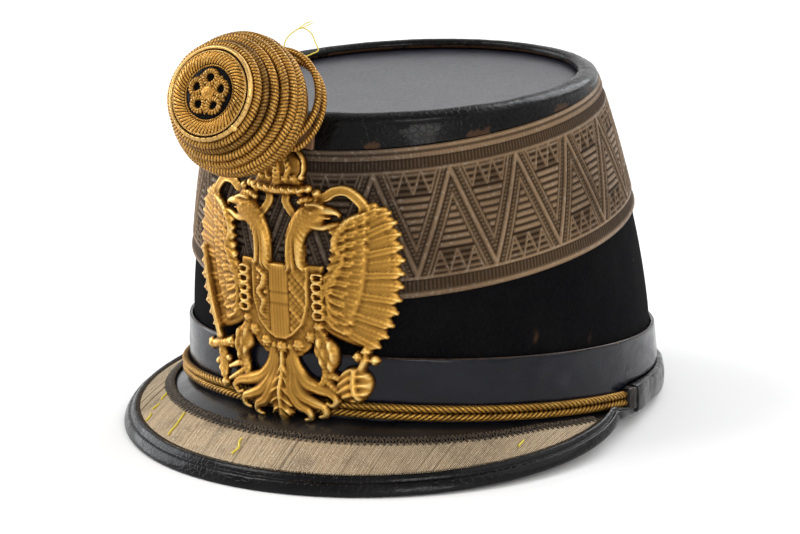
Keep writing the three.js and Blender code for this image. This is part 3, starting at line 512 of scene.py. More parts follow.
def crown_felt():
    angle = AROUND[:, None]
    plate_top = -RIM_SUNK - DISC - GAP
    top = lambda height, offset: rim_point(angle, height, offset)
    side = lambda share, offset: on_plane(angle, share * HEIGHT, share * LACE_TOP_SLOPE, offset)
    rows = [top(plate_top, -WALL), top(-RIM_LEATHER - 2 * GAP, -WALL), top(-RIM_LEATHER - 2 * GAP, 0)]
    for share in np.linspace(0.9, 0.0, 40):
        point = side(share, 0.0)
        shown = smooth(0.2, 0.27, share) * smooth(0.62, 0.52, share)
        lumps = noise(point, 26) * 0.35 + noise(point, 7, 3.3) * 0.12
        rows.append(side(share, lumps * shown))
    rows += [side(share, -WALL) for share in np.linspace(0, 0.88, 12)]
    rows += [top(plate_top - PLATE_THICK, -WALL)]
    grid = np.concatenate(rows, 1)
    nick = np.zeros(grid.shape[:2])
    for at_angle, z, size in ((62.0, 33.0, 1.1), (104.0, 45.0, 0.9), (78.0, 29.0, 0.6), (-150.0, 60.0, 1.0)):
        gap = np.linalg.norm((grid - wall(at_angle, z)) * (1, 1, 0.6), axis=-1)
        nick = np.maximum(nick, smooth(size, size * 0.3, gap))
    build("felt_crown", [skin(grid, loop_i=True, loop_j=False, wear=nick)], FELT, ["crown_body"])


def crown_disc():
    angle = AROUND[:, None]
    edge = rim_point(angle, -RIM_SUNK, -WALL - GAP)
    under = rim_point(angle, -RIM_SUNK - DISC, -WALL - GAP)
    shares = np.array([0.03, 0.1, 0.2, 0.3, 0.4, 0.5, 0.6, 0.7, 0.78, 0.86, 0.93, 0.97, 1.0])[None, :, None]
    face = mix(edge.mean(0, keepdims=True), edge, shares)
    face = face + UP * (noise(face, 34)[..., None] * 0.35 - 0.5 * (1 - shares ** 2)) * (1 - shares ** 6)
    back = mix(under.mean(0, keepdims=True), under, shares)[:, ::-1]
    grid = np.concatenate([face, back], 1)
    build("crown_disc", [skin(grid, loop_i=True, loop_j=False, wear=np.zeros(grid.shape[:2]))],
          SATIN, ["top_disc"])


def crown_rim():
    angle = AROUND[:, None]
    inner, under = -WALL - GAP, -RIM_LEATHER - GAP
    rows = [(rim_outer - 0.25, -RIM_ROLL - 1.0), (rim_outer, -RIM_ROLL), (rim_outer * 0.8, -RIM_ROLL * 0.45),
            (-RIM_WIDTH * 0.1, 0), (-RIM_WIDTH * 0.45, RIM_ROLL * 0.2), (-RIM_WIDTH * 0.9, -RIM_ROLL * 0.2),
            (-RIM_WIDTH, -RIM_SUNK + GAP), (inner, -RIM_SUNK + GAP), (inner, under), (GAP, under)]
    lip = [rim_point(angle, height, offset) for offset, height in rows[1:]]
    low, high = lace_top(angle, rim_outer) + GAP, rim_point(angle, -RIM_ROLL - 1.0, rim_outer)[..., 2]
    strip = [wall(angle, mix(low, np.maximum(high, low + 0.1), share), rim_outer - 0.18 * share)
             for share in (0, 0.06, 0.2, 0.35, 0.5, 0.65, 0.8, 0.92, 1)]
    grid = np.concatenate(strip + lip + [wall(angle, lace_top(angle, GAP) + GAP, GAP)], 1)
    grid = rounded(grid, 1.1)
    grid = swollen(grid, noise(grid, 3.2) * 0.1 + noise(grid, 11, 5.0) * 0.14)
    foot = smooth(5.5, 0.0, grid[..., 2] - low) * (grid[..., 2] < rim_point(angle, -RIM_ROLL, 0)[..., 2])
    spots = smooth(0.35, 0.62, noise(grid, 9, 7.7)) * 0.5
    edge = smooth(-RIM_WIDTH + 1.6, -RIM_WIDTH, grid_offset(grid))
    wear = np.clip(foot * (0.38 + spots) + edge * 0.5, 0, 1)
    for at_angle, height, offset in ((118.0, 0.3, -3.0), (14.0, 0.3, -2.6), (30.0, 0.2, -5.6)):
        spot = rim_point(at_angle, height, offset)
        wear = np.maximum(wear, smooth(1.8, 0.6, np.linalg.norm(grid - spot, axis=-1)))
    build("crown_rim", [skin(grid, loop_i=True, wear=wear)], PATENT, ["top_band"])


def grid_offset(p):
    """How far points lie outside the crown's side, roughly."""
    share = p[..., 2] / HEIGHT
    bow = 4 * share * (1 - share)
    a = mix(BASE_HALF[0], TOP_HALF[0], share) + BULGE[0] * bow
    b = mix(BASE_HALF[1], TOP_HALF[1], share) + BULGE[1] * bow
    x, y = p[..., 0], p[..., 1] + TOP_FORWARD * share
    return (np.hypot(x / a, y / b) - 1) * np.hypot(x, y) / np.maximum(np.hypot(x / a, y / b), 1e-6)


# Lace: a zigzag of bars with beads, stepped triangles between, and ribbed borders
REPEATS, RIBS, PERIOD, LACE_WIDE, FIELD = 19, 380, 26.5, 51.0, (7.4, 42.6)
BAR_SLOPE, STEP, TOOTH, TOOTH_TALL = 0.936, 2.4, 5.8, 7.8


def ridge(value, half, soft=0.45):
    return smooth(half + soft, half - soft, np.abs(value))


def lace_relief(share, up):
    """Height from 0 to 1 of the lace's pattern, at a share of the way round and a height in mm."""
    u = np.abs((share * REPEATS + 0.5) % 1 - 0.5)
    field = (up - FIELD[0]) / (FIELD[1] - FIELD[0])
    leg = (u - 0.5 * (1 - field)) * PERIOD * BAR_SLOPE
    out = np.abs(leg)
    bead = 0.55 + 0.45 * np.cos(2 * np.pi * up / 1.35)
    bars = np.maximum.reduce([ridge(out, 0.7), ridge(out - 3.1, 0.35), ridge(out - 1.9, 0.4) * 0.8 * bead])
    inside = smooth(3.8, 4.1, out)
    pointing_up = leg < 0
    rise = np.where(pointing_up, up - FIELD[0], FIELD[1] - up)
    across = np.where(pointing_up, u, 0.5 - u) * PERIOD
    steps = ridge((rise - 8.4) % STEP - 1.1, 0.66) * (rise > 8.3)
    tooth = np.abs((across + TOOTH / 2) % TOOTH - TOOTH / 2)
    tooth_leg = tooth - 2.8 * (1 - rise / TOOTH_TALL)
    chevron = np.maximum(ridge(tooth_leg, 0.35, 0.35), ridge(rise % 2.1 - 1.0, 0.45, 0.35) * 0.8)
    chevron = chevron * (1 - 0.55 * smooth(0.2, 0.6, tooth_leg))
    fill = np.where(rise < TOOTH_TALL, chevron, steps)
    main = np.maximum(bars, inside * fill) * (field > 0) * (field < 1)
    share, up = np.broadcast_arrays(share, up)
    ribs = 0.5 + 0.5 * np.cos(2 * np.pi * share * RIBS)
    down = LACE_WIDE - up
    border = np.maximum.reduce([
        ridge(down - 0.75, 0.7, 0.3), ridge(down - 2.9, 0.8, 0.3) * (0.75 + 0.25 * ribs),
        ridge(down - 8.0, 0.45, 0.3),
        ridge(up - 1.0, 0.9, 0.35), ridge(up - 6.7, 0.5, 0.3),
        ridge(down - 5.6, 1.5, 0.4) * 0.32 * ribs, ridge(up - 4.0, 1.9, 0.4) * 0.34 * ribs])
    return np.maximum(main, border)


def crown_band_lace():
    rows = 104
    angle = np.concatenate([np.linspace(-80, 125, 640, endpoint=False),
                            np.linspace(125, 280, 270, endpoint=False)])
    count = len(angle)
    line = wall(np.append(angle, 280.0), 90.0)
    run = run_along(line)
    total, run = run[-1], run[:-1]
    share = (run - np.interp(43.8, angle, run)) / total
    low = on_plane(angle, LACE_BOTTOM, LACE_SLOPE, lace_outer)[..., 2][:, None]
    top = lace_top(angle, lace_outer)[:, None]
    up = np.linspace(0, 1, rows)[None, :]
    z = mix(low, top, up)
    high = lace_relief(share[:, None], up * LACE_WIDE)
    flat = wall(angle[:, None], z, lace_outer)
    puff = noise(flat, 30, 2.0) * 0.12
    edge = smooth(0, 0.02, up) * smooth(1, 0.985, up)
    face = wall(angle[:, None], z, lace_outer - 0.35 + 0.62 * high * edge + puff)
    back = np.concatenate([wall(angle, top[:, 0], GAP)[:, None], wall(angle, low[:, 0], GAP)[:, None]], 1)
    grid = np.concatenate([face, back], 1)
    high = np.concatenate([high, np.zeros((count, 2))], 1)
    height = np.concatenate([np.broadcast_to(up * LACE_WIDE, face.shape[:2]), np.zeros((count, 2))], 1)
    cloth = np.stack([np.broadcast_to(share[:, None] * total, high.shape), height, np.zeros(high.shape)], -1)
    side = np.where(angle > 180, angle - 360, angle)
    # Painted shade: the lace is darker near the front, beside the eagle, and towards the far right.
    tint = smooth(18, 48, np.abs(side)) * (1 - 0.4 * smooth(68, 98, side))
    tint = np.broadcast_to(tint[:, None], high.shape)
    build("band_of_lace", [skin(grid, loop_i=True, high=high, cloth=cloth, tint=tint)],
          LACE, ["crown_lace"])


def leather_band():
    angle = np.concatenate([AROUND[:91], [91.2, 91.6], AROUND[92:269], [268.4, 268.8], AROUND[269:]])
    side = np.where(angle > 180, 360 - angle, angle)
    low = smooth(MOUTH + MOUTH_WIDTH + 0.2, MOUTH + MOUTH_WIDTH + 0.6, side) * (FLAP_TOP + GAP)
    top = on_plane(angle, BAND_TOP, BAND_SLOPE, band_outer)[..., 2]
    up = np.array([0, 0.03, *np.linspace(0.1, 0.87, 12), 0.93, 0.97, 1.0])
    z = mix(low[:, None], top[:, None], up[None, :])
    flat = wall(angle[:, None], z, band_outer)
    creased = 0.16 + 0.7 * np.exp(-(((angle - 57) / 15) ** 2))[:, None] * smooth(0.3, 0.75, up)
    wrinkle = noise(flat * (0.3, 0.3, 1), 2.2) * creased + noise(flat, 22, 4.0) * 0.22
    wrinkle = wrinkle * smooth(0, 0.1, up) * smooth(1, 0.9, up)
    wrinkle = wrinkle - 0.35 * (smooth(0.04, 0, up) + smooth(0.96, 1, up))
    face = wall(angle[:, None], z, band_outer + wrinkle)
    back = np.stack([wall(angle, top, GAP), wall(angle, low, GAP)], 1)
    grid = np.concatenate([face, back], 1)
    worn = np.broadcast_to(smooth(0.955, 1.0, up) * 0.85 + smooth(0.05, 0, up) * 0.5, face.shape[:2])
    spots = smooth(0.5, 0.75, noise(flat, 5, 9.0)) * 0.5
    wear = np.concatenate([np.clip(worn + spots * smooth(0.7, 1.0, up), 0, 1), np.zeros((len(angle), 2))], 1)
    build("leather_band", [skin(grid, loop_i=True, wear=wear)], BAND_LEATHER, ["base_band"])


# Peak
least_width = BIND_WIDTH + cord_outer + GAP
least_swell = (least_width / REACH) ** (1 / WIDTH_POWER)


def cord_level(y):
    return CORD_HEIGHT + CORD_RISE * np.maximum(-y, 0)


def swell(angle):
    return np.maximum(np.cos(np.pi / 2 * angle / PEAK_ANGLE), least_swell)


def peak_width(angle):
    return REACH * swell(angle) ** WIDTH_POWER


def angle_of_width(width):
    return PEAK_ANGLE * 2 / np.pi * np.arccos((width / REACH) ** (1 / WIDTH_POWER))


def peak_point(angle, out, lift):
    """A point on the peak, out from the crown's side, and lifted from the peak's underside."""
    angle, out, lift = np.broadcast_arrays(*(np.asarray(value, float) for value in (angle, out, lift)))
    normal = unit(np.stack([sin_deg(angle) / BASE_HALF[0], -cos_deg(angle) / BASE_HALF[1], 0 * angle], -1))
    seat_top = cord_level(wall(angle, 0)[..., 1]) - pair_half - GAP
    seat = seat_top - PEAK_THICK
    edge = -EDGE_DROP + SIDE_LIFT * (1 - swell(angle) ** DROP_POWER)
    share = np.clip(out / peak_width(angle), 0, 1) ** FALL_POWER
    point = wall(angle, seat_top) + normal * out[..., None]
    point[..., 2] = mix(seat, edge, share) + lift
    return point


taper_start, peak_end = angle_of_width(least_width), MOUTH - BIND_END_GAP
gimp_inside = cord_outer + GAP
panel_end = angle_of_width(BIND_WIDTH + gimp_inside + GIMP_WIDTH + NARROWEST + 2 * GAP)


def binding_inner(angle):
    return peak_width(angle) - BIND_WIDTH


def gimp_outer(angle):
    line = GIMP_LINE * np.maximum(np.cos(np.pi / 2 * angle / GIMP_ANGLE), 0) ** GIMP_POWER
    return np.maximum(line, gimp_inside + GIMP_WIDTH)


def peak_strip(angle, inner, outer, low, high, cuts):
    """Closed sections of a flat strip on the peak, between two lines and two lifts."""
    share = np.linspace(0, 1, cuts + 1)[None, :]
    across = mix(inner(angle)[:, None], outer(angle)[:, None], share)
    top = peak_point(angle[:, None], across, high)
    under = peak_point(angle[:, None], across, low)[:, ::-1]
    return np.concatenate([under, top], 1)


def peak_leather():
    angle = np.linspace(-peak_end, peak_end, 240)
    grid = peak_strip(angle, lambda a: band_outer + GAP + 0 * a, lambda a: binding_inner(a) - GAP, 0,
                      PEAK_THICK, 24)
    lumps = noise(grid, 4.5, 1.0) * 0.06 + noise(grid, 14, 1.0) * 0.1
    shown = np.concatenate([np.zeros(25), np.ones(25)])
    grid = grid + UP * (lumps * shown)[..., None]
    build("peak_leather", [skin(rounded(grid, 0.25, 2), wear=np.zeros((240, 100)))],
          BOARD_LEATHER, ["peak_board"])


def panel_inner(angle):
    return gimp_outer(angle) + GAP


def panel_outer(angle):
    return binding_inner(angle) - GAP


def wire_path(x, levels, lift):
    """Points of a line of constant x that crosses the panel of wires at shares of its width."""
    inner, outer = panel_inner, panel_outer
    if abs(x) > 55:
        angle = np.sign(x) * np.linspace(30, panel_end, 400)
        edge, beyond = peak_point(angle, 0.0, 0)[:, 0], peak_point(angle, 1.0, 0)[:, 0]
        across = (x - edge) / (beyond - edge)
        share = (across - inner(angle)) / (outer(angle) - inner(angle))
        kept = np.flatnonzero((share >= levels[0]) & (share <= levels[-1]))
        kept = kept[np.linspace(0, len(kept) - 1, 13).astype(int)] if len(kept) > 13 else kept
        return peak_point(angle[kept], across[kept], lift)
    angle = np.linspace(-panel_end, panel_end, 600)
    points = []
    for level in levels:
        xs = peak_point(angle, mix(inner(angle), outer(angle), level), lift)[:, 0]
        at = np.interp(x, xs, angle)
        points.append(peak_point(at, mix(inner(at), outer(at), level), lift))
    return np.array(points)


def peak_wires():
    low = PEAK_THICK + GAP
    angle = np.linspace(-panel_end, panel_end, 240)
    sheet = peak_strip(angle, panel_inner, panel_outer, low, low + WIRE_SHEET, 8)
    # The sheet under the wires takes the deep tone: painted shade in the gaps between the wires.
    parts = [skin(sheet, high=np.full(sheet.shape[:2], 0.2), tint=np.zeros(sheet.shape[:2]))]
    levels = np.linspace(0, 1, 11)
    chance = np.random.default_rng(5)
    lost_wires = (-85.0, -82.5, -79.6, -77.0, -74.2, -71.5, -66.0)
    x = -PANEL_HALF
    while x < PANEL_HALF:
        x += WIRE_PITCH + chance.uniform(-0.04, 0.04)
        if any(abs(x - lost) < 0.3 for lost in lost_wires):
            continue
        path = wire_path(x, levels, low + WIRE_SHEET + WIRE_RADIUS * 0.25 + chance.uniform(-0.03, 0.05))
        path = path + np.array([1.0, 0, 0]) * chance.uniform(-0.06, 0.06, len(path))[:, None]
        if len(path) < 2:
            continue
        shade = min(abs(chance.normal(0.0, 0.16)), 0.5) + (0.35 if chance.random() < 0.03 else 0)
        # Painted shade on the flanks of the wires.
        parts.append(rope(path, WIRE_RADIUS, 6, facing=0.85, tint=shade))
    build("peak_wires", parts, WIRES, ["peak_lace"])


def peak_gimp():
    low = PEAK_THICK + GAP
    angle = np.linspace(-panel_end, panel_end, 240)
    base = peak_strip(angle, lambda a: gimp_outer(a) - GIMP_WIDTH, lambda a: gimp_outer(a) - 0.8, low,
                      low + 0.35, 3)
    parts = [skin(base, high=np.full(base.shape[:2], 0.1), tint=np.full(base.shape[:2], 0.5))]
    fine = np.linspace(-panel_end, panel_end, 2600)
    middle = peak_point(fine, gimp_outer(fine) - GIMP_WIDTH / 2, 0)
    run = run_along(middle)
    for inward, period, lift, radius, tint in ((0.0, 2.2, 0.85, 0.32, 0.3), (1.3, 1.6, 0.7, 0.25, 0.0)):
        wave = np.abs(run / period % 1 * 2 - 1) * 2 - 1
        path = peak_point(fine, gimp_outer(fine) - inward + wave * (1.5 - inward / 2), low + lift)
        # Painted shade on the flanks of the zigzag.
        parts.append(rope(path, radius, 6, facing=0.5, tint=tint))
    build("peak_zigzag", parts, GIMP, ["peak_gimp"])


# The binding's section, as shares of (width, height) from its inner foot
BINDING = [(0, 0), (0, 0.85), (0.18, 1), (0.38, 0.9), (0.46, 0.72), (0.54, 0.74), (0.7, 0.8), (0.95, 0.5),
           (1, 0.25), (0.88, 0.02), (0.65, -0.08)]


def peak_edge():
    angle = np.linspace(-peak_end, peak_end, 420)
    scale = mix(1, BIND_END, smooth(taper_start, peak_end, np.abs(angle)))
    rows = [peak_point(angle, binding_inner(angle) + across * BIND_WIDTH * scale, up * BIND_HEIGHT * scale)
            for across, up in BINDING]
    grid = rounded(np.stack(rows, 1), 0.9, 4)
    middle = grid.mean(1, keepdims=True)
    lumps = noise(grid, 1.9) * 0.07 + noise(grid, 6, 3.0) * 0.12 + noise(grid * (1, 1, 0.4), 16, 6.0) * 0.14
    grid = swollen(grid, lumps * smooth(-0.2, 0.6, (grid - middle)[..., 2] + 1.6))
    wear = smooth(0.35, 0.6, noise(grid, 8, 2.2)) * 0.45 * (grid[..., 2] > middle[..., 2])
    build("peak_binding_roll", [skin(grid, wear=wear)], BINDING_LEATHER, ["peak_binding"])
    stitches = []
    chance = np.random.default_rng(9)
    turn = -panel_end + 0.4
    while turn < panel_end - 0.4:
        turn += STITCH_STEP
        skew, lift = chance.uniform(-0.12, 0.12), PEAK_THICK + GAP + LACE_SKIN
        inner = binding_inner(turn)
        rows = [(turn + skew, inner - 1.15, lift - 0.1), (turn, inner - 0.5, lift + 0.3),
                (turn, inner + 0.15, lift + 0.75)]
        stitches.append(rope(curve([peak_point(*row) for row in rows], 5), 0.17, 5, tint=0.3))
    build("peak_stitches", stitches, GIMP)


# Chin cord and neck flap
def cord_offset(angle):
    """How far the cord's middle lies off the side: over the band in front, on the felt in the flap."""
    side = np.where(angle > 180, 360 - angle, np.abs(angle))
    start = MOUTH + MOUTH_WIDTH + 1
    return mix(cord_front, cord_rear, smooth(start, start + SETTLE, side))


def chin_cords():
    angle = np.concatenate([np.linspace(-CORD_SHOWN, CORD_SHOWN, 1500), np.arange(96, 265, 3.0)])
    shown = np.abs(angle) <= CORD_SHOWN
    theta = np.arange(20) * 2 * np.pi / 20
    for name, node, level in (("chin_cord_top_strand", "chin_cord_upper", 1),
                              ("chin_cord_low_strand", "chin_cord_lower", -1)):
        z = cord_level(wall(angle, 0)[..., 1]) + level * strand_step / 2
        path = wall(angle, z, cord_offset(np.where(angle < 0, angle + 360, angle)))
        phase = 2 * theta[None, :] + level * np.pi * run_along(path)[:, None] / CORD_TURN
        # Painted shade: high darkens the furrows of the twist through the cord's colours.
        high = np.where(shown[:, None], np.abs(np.cos(phase)), 0.8)
        radius = STRAND / 2 * (1.05 - 0.4 * (1 - np.sqrt(high)))
        grid = tube(path, np.roll(path, -1, 0) - np.roll(path, 1, 0), UP, theta, radius)
        build(name, [skin(grid, loop_i=True, high=high)], CORD_GOLD, [node])


def flap_outer(angle):
    return cord_offset(angle) + STRAND / 2 + GAP + FLAP_LEATHER


def neck_flap():
    start = MOUTH + MOUTH_WIDTH + GAP
    angle = np.linspace(start, 360 - start, 300)
    outer = flap_outer(angle)
    inner = outer - FLAP_LEATHER
    rear_z = -FLAP_UNDER - GAP
    foot = outer - FLAP_ROUND
    rear = wall(180.0, rear_z, flap_outer(np.array(180.0)) - FLAP_ROUND)[1]
    low = rear_z - np.minimum((rear - wall(angle, rear_z, foot)[..., 1]) * np.tan(REST_TILT), FLAP_SAG)
    roof = FLAP_TOP - FLAP_LEATHER
    full = 0 * angle
    rows = [(-WALL + full, -GAP + full), (-WALL + full, low), (foot, low), (outer, low + 0.9)]
    rows += [(outer + 0.3 * np.sin(np.pi * share), mix(low + 0.9, roof + full, share))
             for share in np.linspace(0.1, 0.9, 9)]
    rows += [(outer, roof + full), (outer - 0.8, FLAP_TOP + full), (GAP + full, FLAP_TOP + full),
             (GAP + full, roof + full),
             (inner, roof + full), (inner, -GAP + full)]
    grid = rounded(np.stack([wall(angle, z, offset) for offset, z in rows], 1), 0.35, 2)
    face = np.zeros(grid.shape[1])
    face[6:28] = 1
    crease = noise(grid * (1, 1, 0.5), 3.4, 2.0) * 0.16 + noise(grid * (0.45, 0.45, 1.6), 5.0, 8.0) * 0.16
    swing = wall(angle[:, None], grid[..., 2], 1.0) - wall(angle[:, None], grid[..., 2], 0.0)
    lift = smooth(low[:, None] + 0.4, low[:, None] + 2.0, grid[..., 2])
    grid = grid + unit(swing) * (crease * face * lift)[..., None]
    grid[..., 2] += noise(grid, 5, 4.4) * 0.25 * (grid[..., 2] > roof - 0.2)
    wear = smooth(FLAP_TOP - 1.5, FLAP_TOP - 0.2, grid[..., 2]) * 0.75
    wear = wear + smooth(0.2, 0.6, noise(grid, 4, 5.5)) * 0.4
    build("folded_neck_flap", [skin(grid, wear=np.clip(wear, 0, 1) * face)], BINDING_LEATHER,
          ["neck_flap"])
    for side, name, node in ((1, "flap_end_left", "flap_mouth_left"),
                             (-1, "flap_end_right", "flap_mouth_right")):
        turn = np.linspace(MOUTH - 0.3, MOUTH + MOUTH_WIDTH, 14)
        middle = cord_level(wall(turn, 0)[..., 1])
        near, far, back = cord_outer + GAP, cord_outer + GAP + FLAP_LEATHER, band_outer + GAP
        reach = pair_half + GAP
        rows = [(back, middle + reach), (near, middle + reach), (near, middle - reach),
                (back, middle - reach), (back, middle - reach - FLAP_LEATHER),
                (far, middle - reach - FLAP_LEATHER), (far, middle), (far, middle + reach + FLAP_LEATHER),
                (back, middle + reach + FLAP_LEATHER)]
        grid = rounded(np.stack([wall(side * turn, z, offset) for offset, z in rows], 1), 0.7, 3)
        away = smooth(MOUTH + 1.6, MOUTH - 0.3, turn)[:, None] * 0.45
        grid = swollen(grid, noise(grid, 1.6, 1.0) * 0.28 - away)
        wear = smooth(-0.3, 0.5, noise(grid, 2.5, 6.0)) * 0.6
        build(name, [skin(grid, wear=wear)], LIP, [node])


# Plate: a pierced relief drawn on a fine grid by strokes, then bent to the front of the cap.
# A stroke's rows are (u across, v up, half width, rise).
BEND_STEPS, CELL = 24, 0.37


def plate_back(v):
    """How far the plate's back lies off the crown: further at the tail, which hangs over the cord."""
    flat = max(lace_outer, band_outer) + LIFT
    return mix(cord_outer + GAP, flat, smooth(TAIL[0], TAIL[1], v))


def bend(u, v, w):
    """Lays points of the relief, w above the plate's back, round the front of the cap."""
    along = u + SHIFT + (PIVOT - v) * sin_deg(LEAN)
    offset = plate_back(v) + w
    angle = np.zeros_like(along)
    for _ in range(BEND_STEPS):
        degree = wall(angle + 0.5, v, offset) - wall(angle - 0.5, v, offset)
        angle = angle + along / BEND_STEPS / np.linalg.norm(degree, axis=-1)
    return wall(angle, v, offset)


GRID_U, GRID_V = np.meshgrid(np.arange(-47, 48, CELL), np.arange(-1, 100, CELL), indexing="ij")
cover = np.full(GRID_U.shape, -9.0)
relief = np.zeros(GRID_U.shape)


def carve(edge, rise, near=(slice(None), slice(None))):
    """Adds a form to the relief: edge is the distance inside it, in mm, and near the part of the grid."""
    cover[near] = np.maximum(cover[near], edge)
    relief[near] = np.where(edge > 0, np.maximum(relief[near], rise), relief[near])


def stroke(rows, style="plain", mirror=True):
    """Draws a smooth stroke, and its mirror image too, whose style adds fine relief."""
    base = 0.9
    for side in (-1, 1) if mirror else (1,):
        rows_here = np.array(rows, float) * (side, 1, 1, 1)
        path = curve(rows_here, max(12, int(run_along(rows_here[:, :2])[-1] / 0.35)))
        reach = path[:, 2].max() + 1.2
        near = tuple(slice(*np.searchsorted(axis, (path[:, k].min() - reach, path[:, k].max() + reach)))
                     for k, axis in ((0, GRID_U[:, 0]), (1, GRID_V[0])))
        at = np.stack([GRID_U[near], GRID_V[near]], -1)
        gap = np.linalg.norm(at[:, :, None] - path[None, None, :, :2], axis=-1)
        k = gap.argmin(-1)
        distance = gap.min(-1)
        half = np.maximum(path[k, 2], 0.05)
        rise = path[k, 3]
        way = unit(np.gradient(path[:, :2], axis=0))[k]
        offset = at - path[k, :2]
        across = (way[..., 0] * offset[..., 1] - way[..., 1] * offset[..., 0]) * side
        run = run_along(path[:, :2])[k]
        t = np.clip(distance / half, 0, 1)
        dome = np.sqrt(np.clip(1 - t ** 2.4, 0, 1))
        form = base * (0.45 + 0.55 * dome) + rise * dome
        if style == "feather":
            spine = 0.34 * smooth(0.5, 0.1, np.abs(across))
            spine = spine - 0.2 * smooth(0.3, 0.1, np.abs(np.abs(across) - 0.75))
            barbs = 0.13 * np.cos(2 * np.pi * (run - np.abs(across) * 1.3) / 1.5)
            form = base * 0.5 + rise * smooth(1, 0.72, t) * (1 - 0.35 * across / half)
            form = form + (spine + barbs) * dome
        elif style == "barbs":
            form = form + 0.2 * np.cos(2 * np.pi * (run - np.abs(across) * 1.1) / 1.9) * dome
            form = form - 0.16 * smooth(0.3, 0.1, np.abs(across % 1.5 - 0.75)) * dome
        elif style == "grooved":
            form = form - 0.28 * (0.5 + 0.5 * np.cos(across / half * np.pi * 3)) * dome
        elif style == "band":
            form = base * 0.5 + rise * smooth(1.0, 0.9, t) + 0.4 * smooth(0.28, 0.12, np.abs(t - 0.78))
            form = form + 0.18 * smooth(0.25, 0.1, np.hypot(run % 2.2 - 1.1, across) / 2)
        elif style == "scales":
            scale = np.abs((run / 1.7 + 0.5 * np.floor(across / 1.4)) % 1) * 0.35
            form = form + (scale - 0.17) * dome - 0.15 * smooth(0.35, 0.5, np.abs((across / 1.4) % 1 - 0.5))
        elif style == "ribbed":
            form = form + 0.22 * np.cos(2 * np.pi * run / 1.5) * dome
        carve(half - distance, form, near)


def patch(points, rise):
    """A filled form inside a closed smooth outline of (u, v), and its mirror image."""
    for side in (-1, 1):
        ring = curve(np.array(points + points[:1], float) * (side, 1), 12 * len(points))
        a, b = ring[:-1], ring[1:]
        at = np.stack([GRID_U, GRID_V], -1)[:, :, None]
        way = b - a
        t = np.clip(((at - a) * way).sum(-1) / (way ** 2).sum(-1), 0, 1)
        gap = np.linalg.norm(at - a - t[..., None] * way, axis=-1).min(-1)
        crossing = (a[:, 1] > at[..., 1]) != (b[:, 1] > at[..., 1])
        reach = a[:, 0] + (at[..., 1] - a[:, 1]) * way[:, 0] / np.where(way[:, 1] == 0, 1e-9, way[:, 1])
        edge = np.where((crossing & (at[..., 0] < reach)).sum(-1) % 2 == 1, gap, -gap)
        carve(edge, 0.6 + rise * smooth(0, 1.4, edge))


def knob(u, v, radius, rise, petals=0, mirror=True):
    """A round boss, or a small flower of petals."""
    for side in (-1, 1) if mirror else (1,):
        d = np.hypot(GRID_U - side * u, GRID_V - v)
        turn = np.arctan2(GRID_V - v, GRID_U - side * u)
        rim = radius * (1 - (0.12 * np.abs(np.sin(turn * petals / 2)) if petals else 0))
        t = np.clip(d / rim, 0, 1)
        form = 0.9 + rise * np.sqrt(1 - t ** 2)
        if petals:
            form = form - 0.45 * np.abs(np.sin(turn * petals / 2)) ** 3 * smooth(0.25, 0.5, t)
            form = form - 0.4 * smooth(0.42, 0.3, np.abs(t - 0.35) * 6)
        carve(rim - d, form)


def feather(root, tip, half, rise, bow, blunt):
    """A feather from root to tip, as (u, v), that bows to its side and has a more or less blunt tip."""
    root, tip = np.array(root, float), np.array(tip, float)
    way = unit(tip - root)
    turned = np.array([-way[1], way[0]]) * bow
    rows = [(root, 0.8, -0.3), (mix(root, tip, 0.45) + turned * 0.9, 1.0, -0.1),
            (mix(root, tip, 0.78) + turned, 1.0, 0.0), (mix(root, tip, 0.92) + turned * 0.6, blunt, 0.0),
            (tip, blunt * 0.4, -0.2)]
    stroke([(*at, half * wide, rise + more) for at, wide, more in rows], "feather")


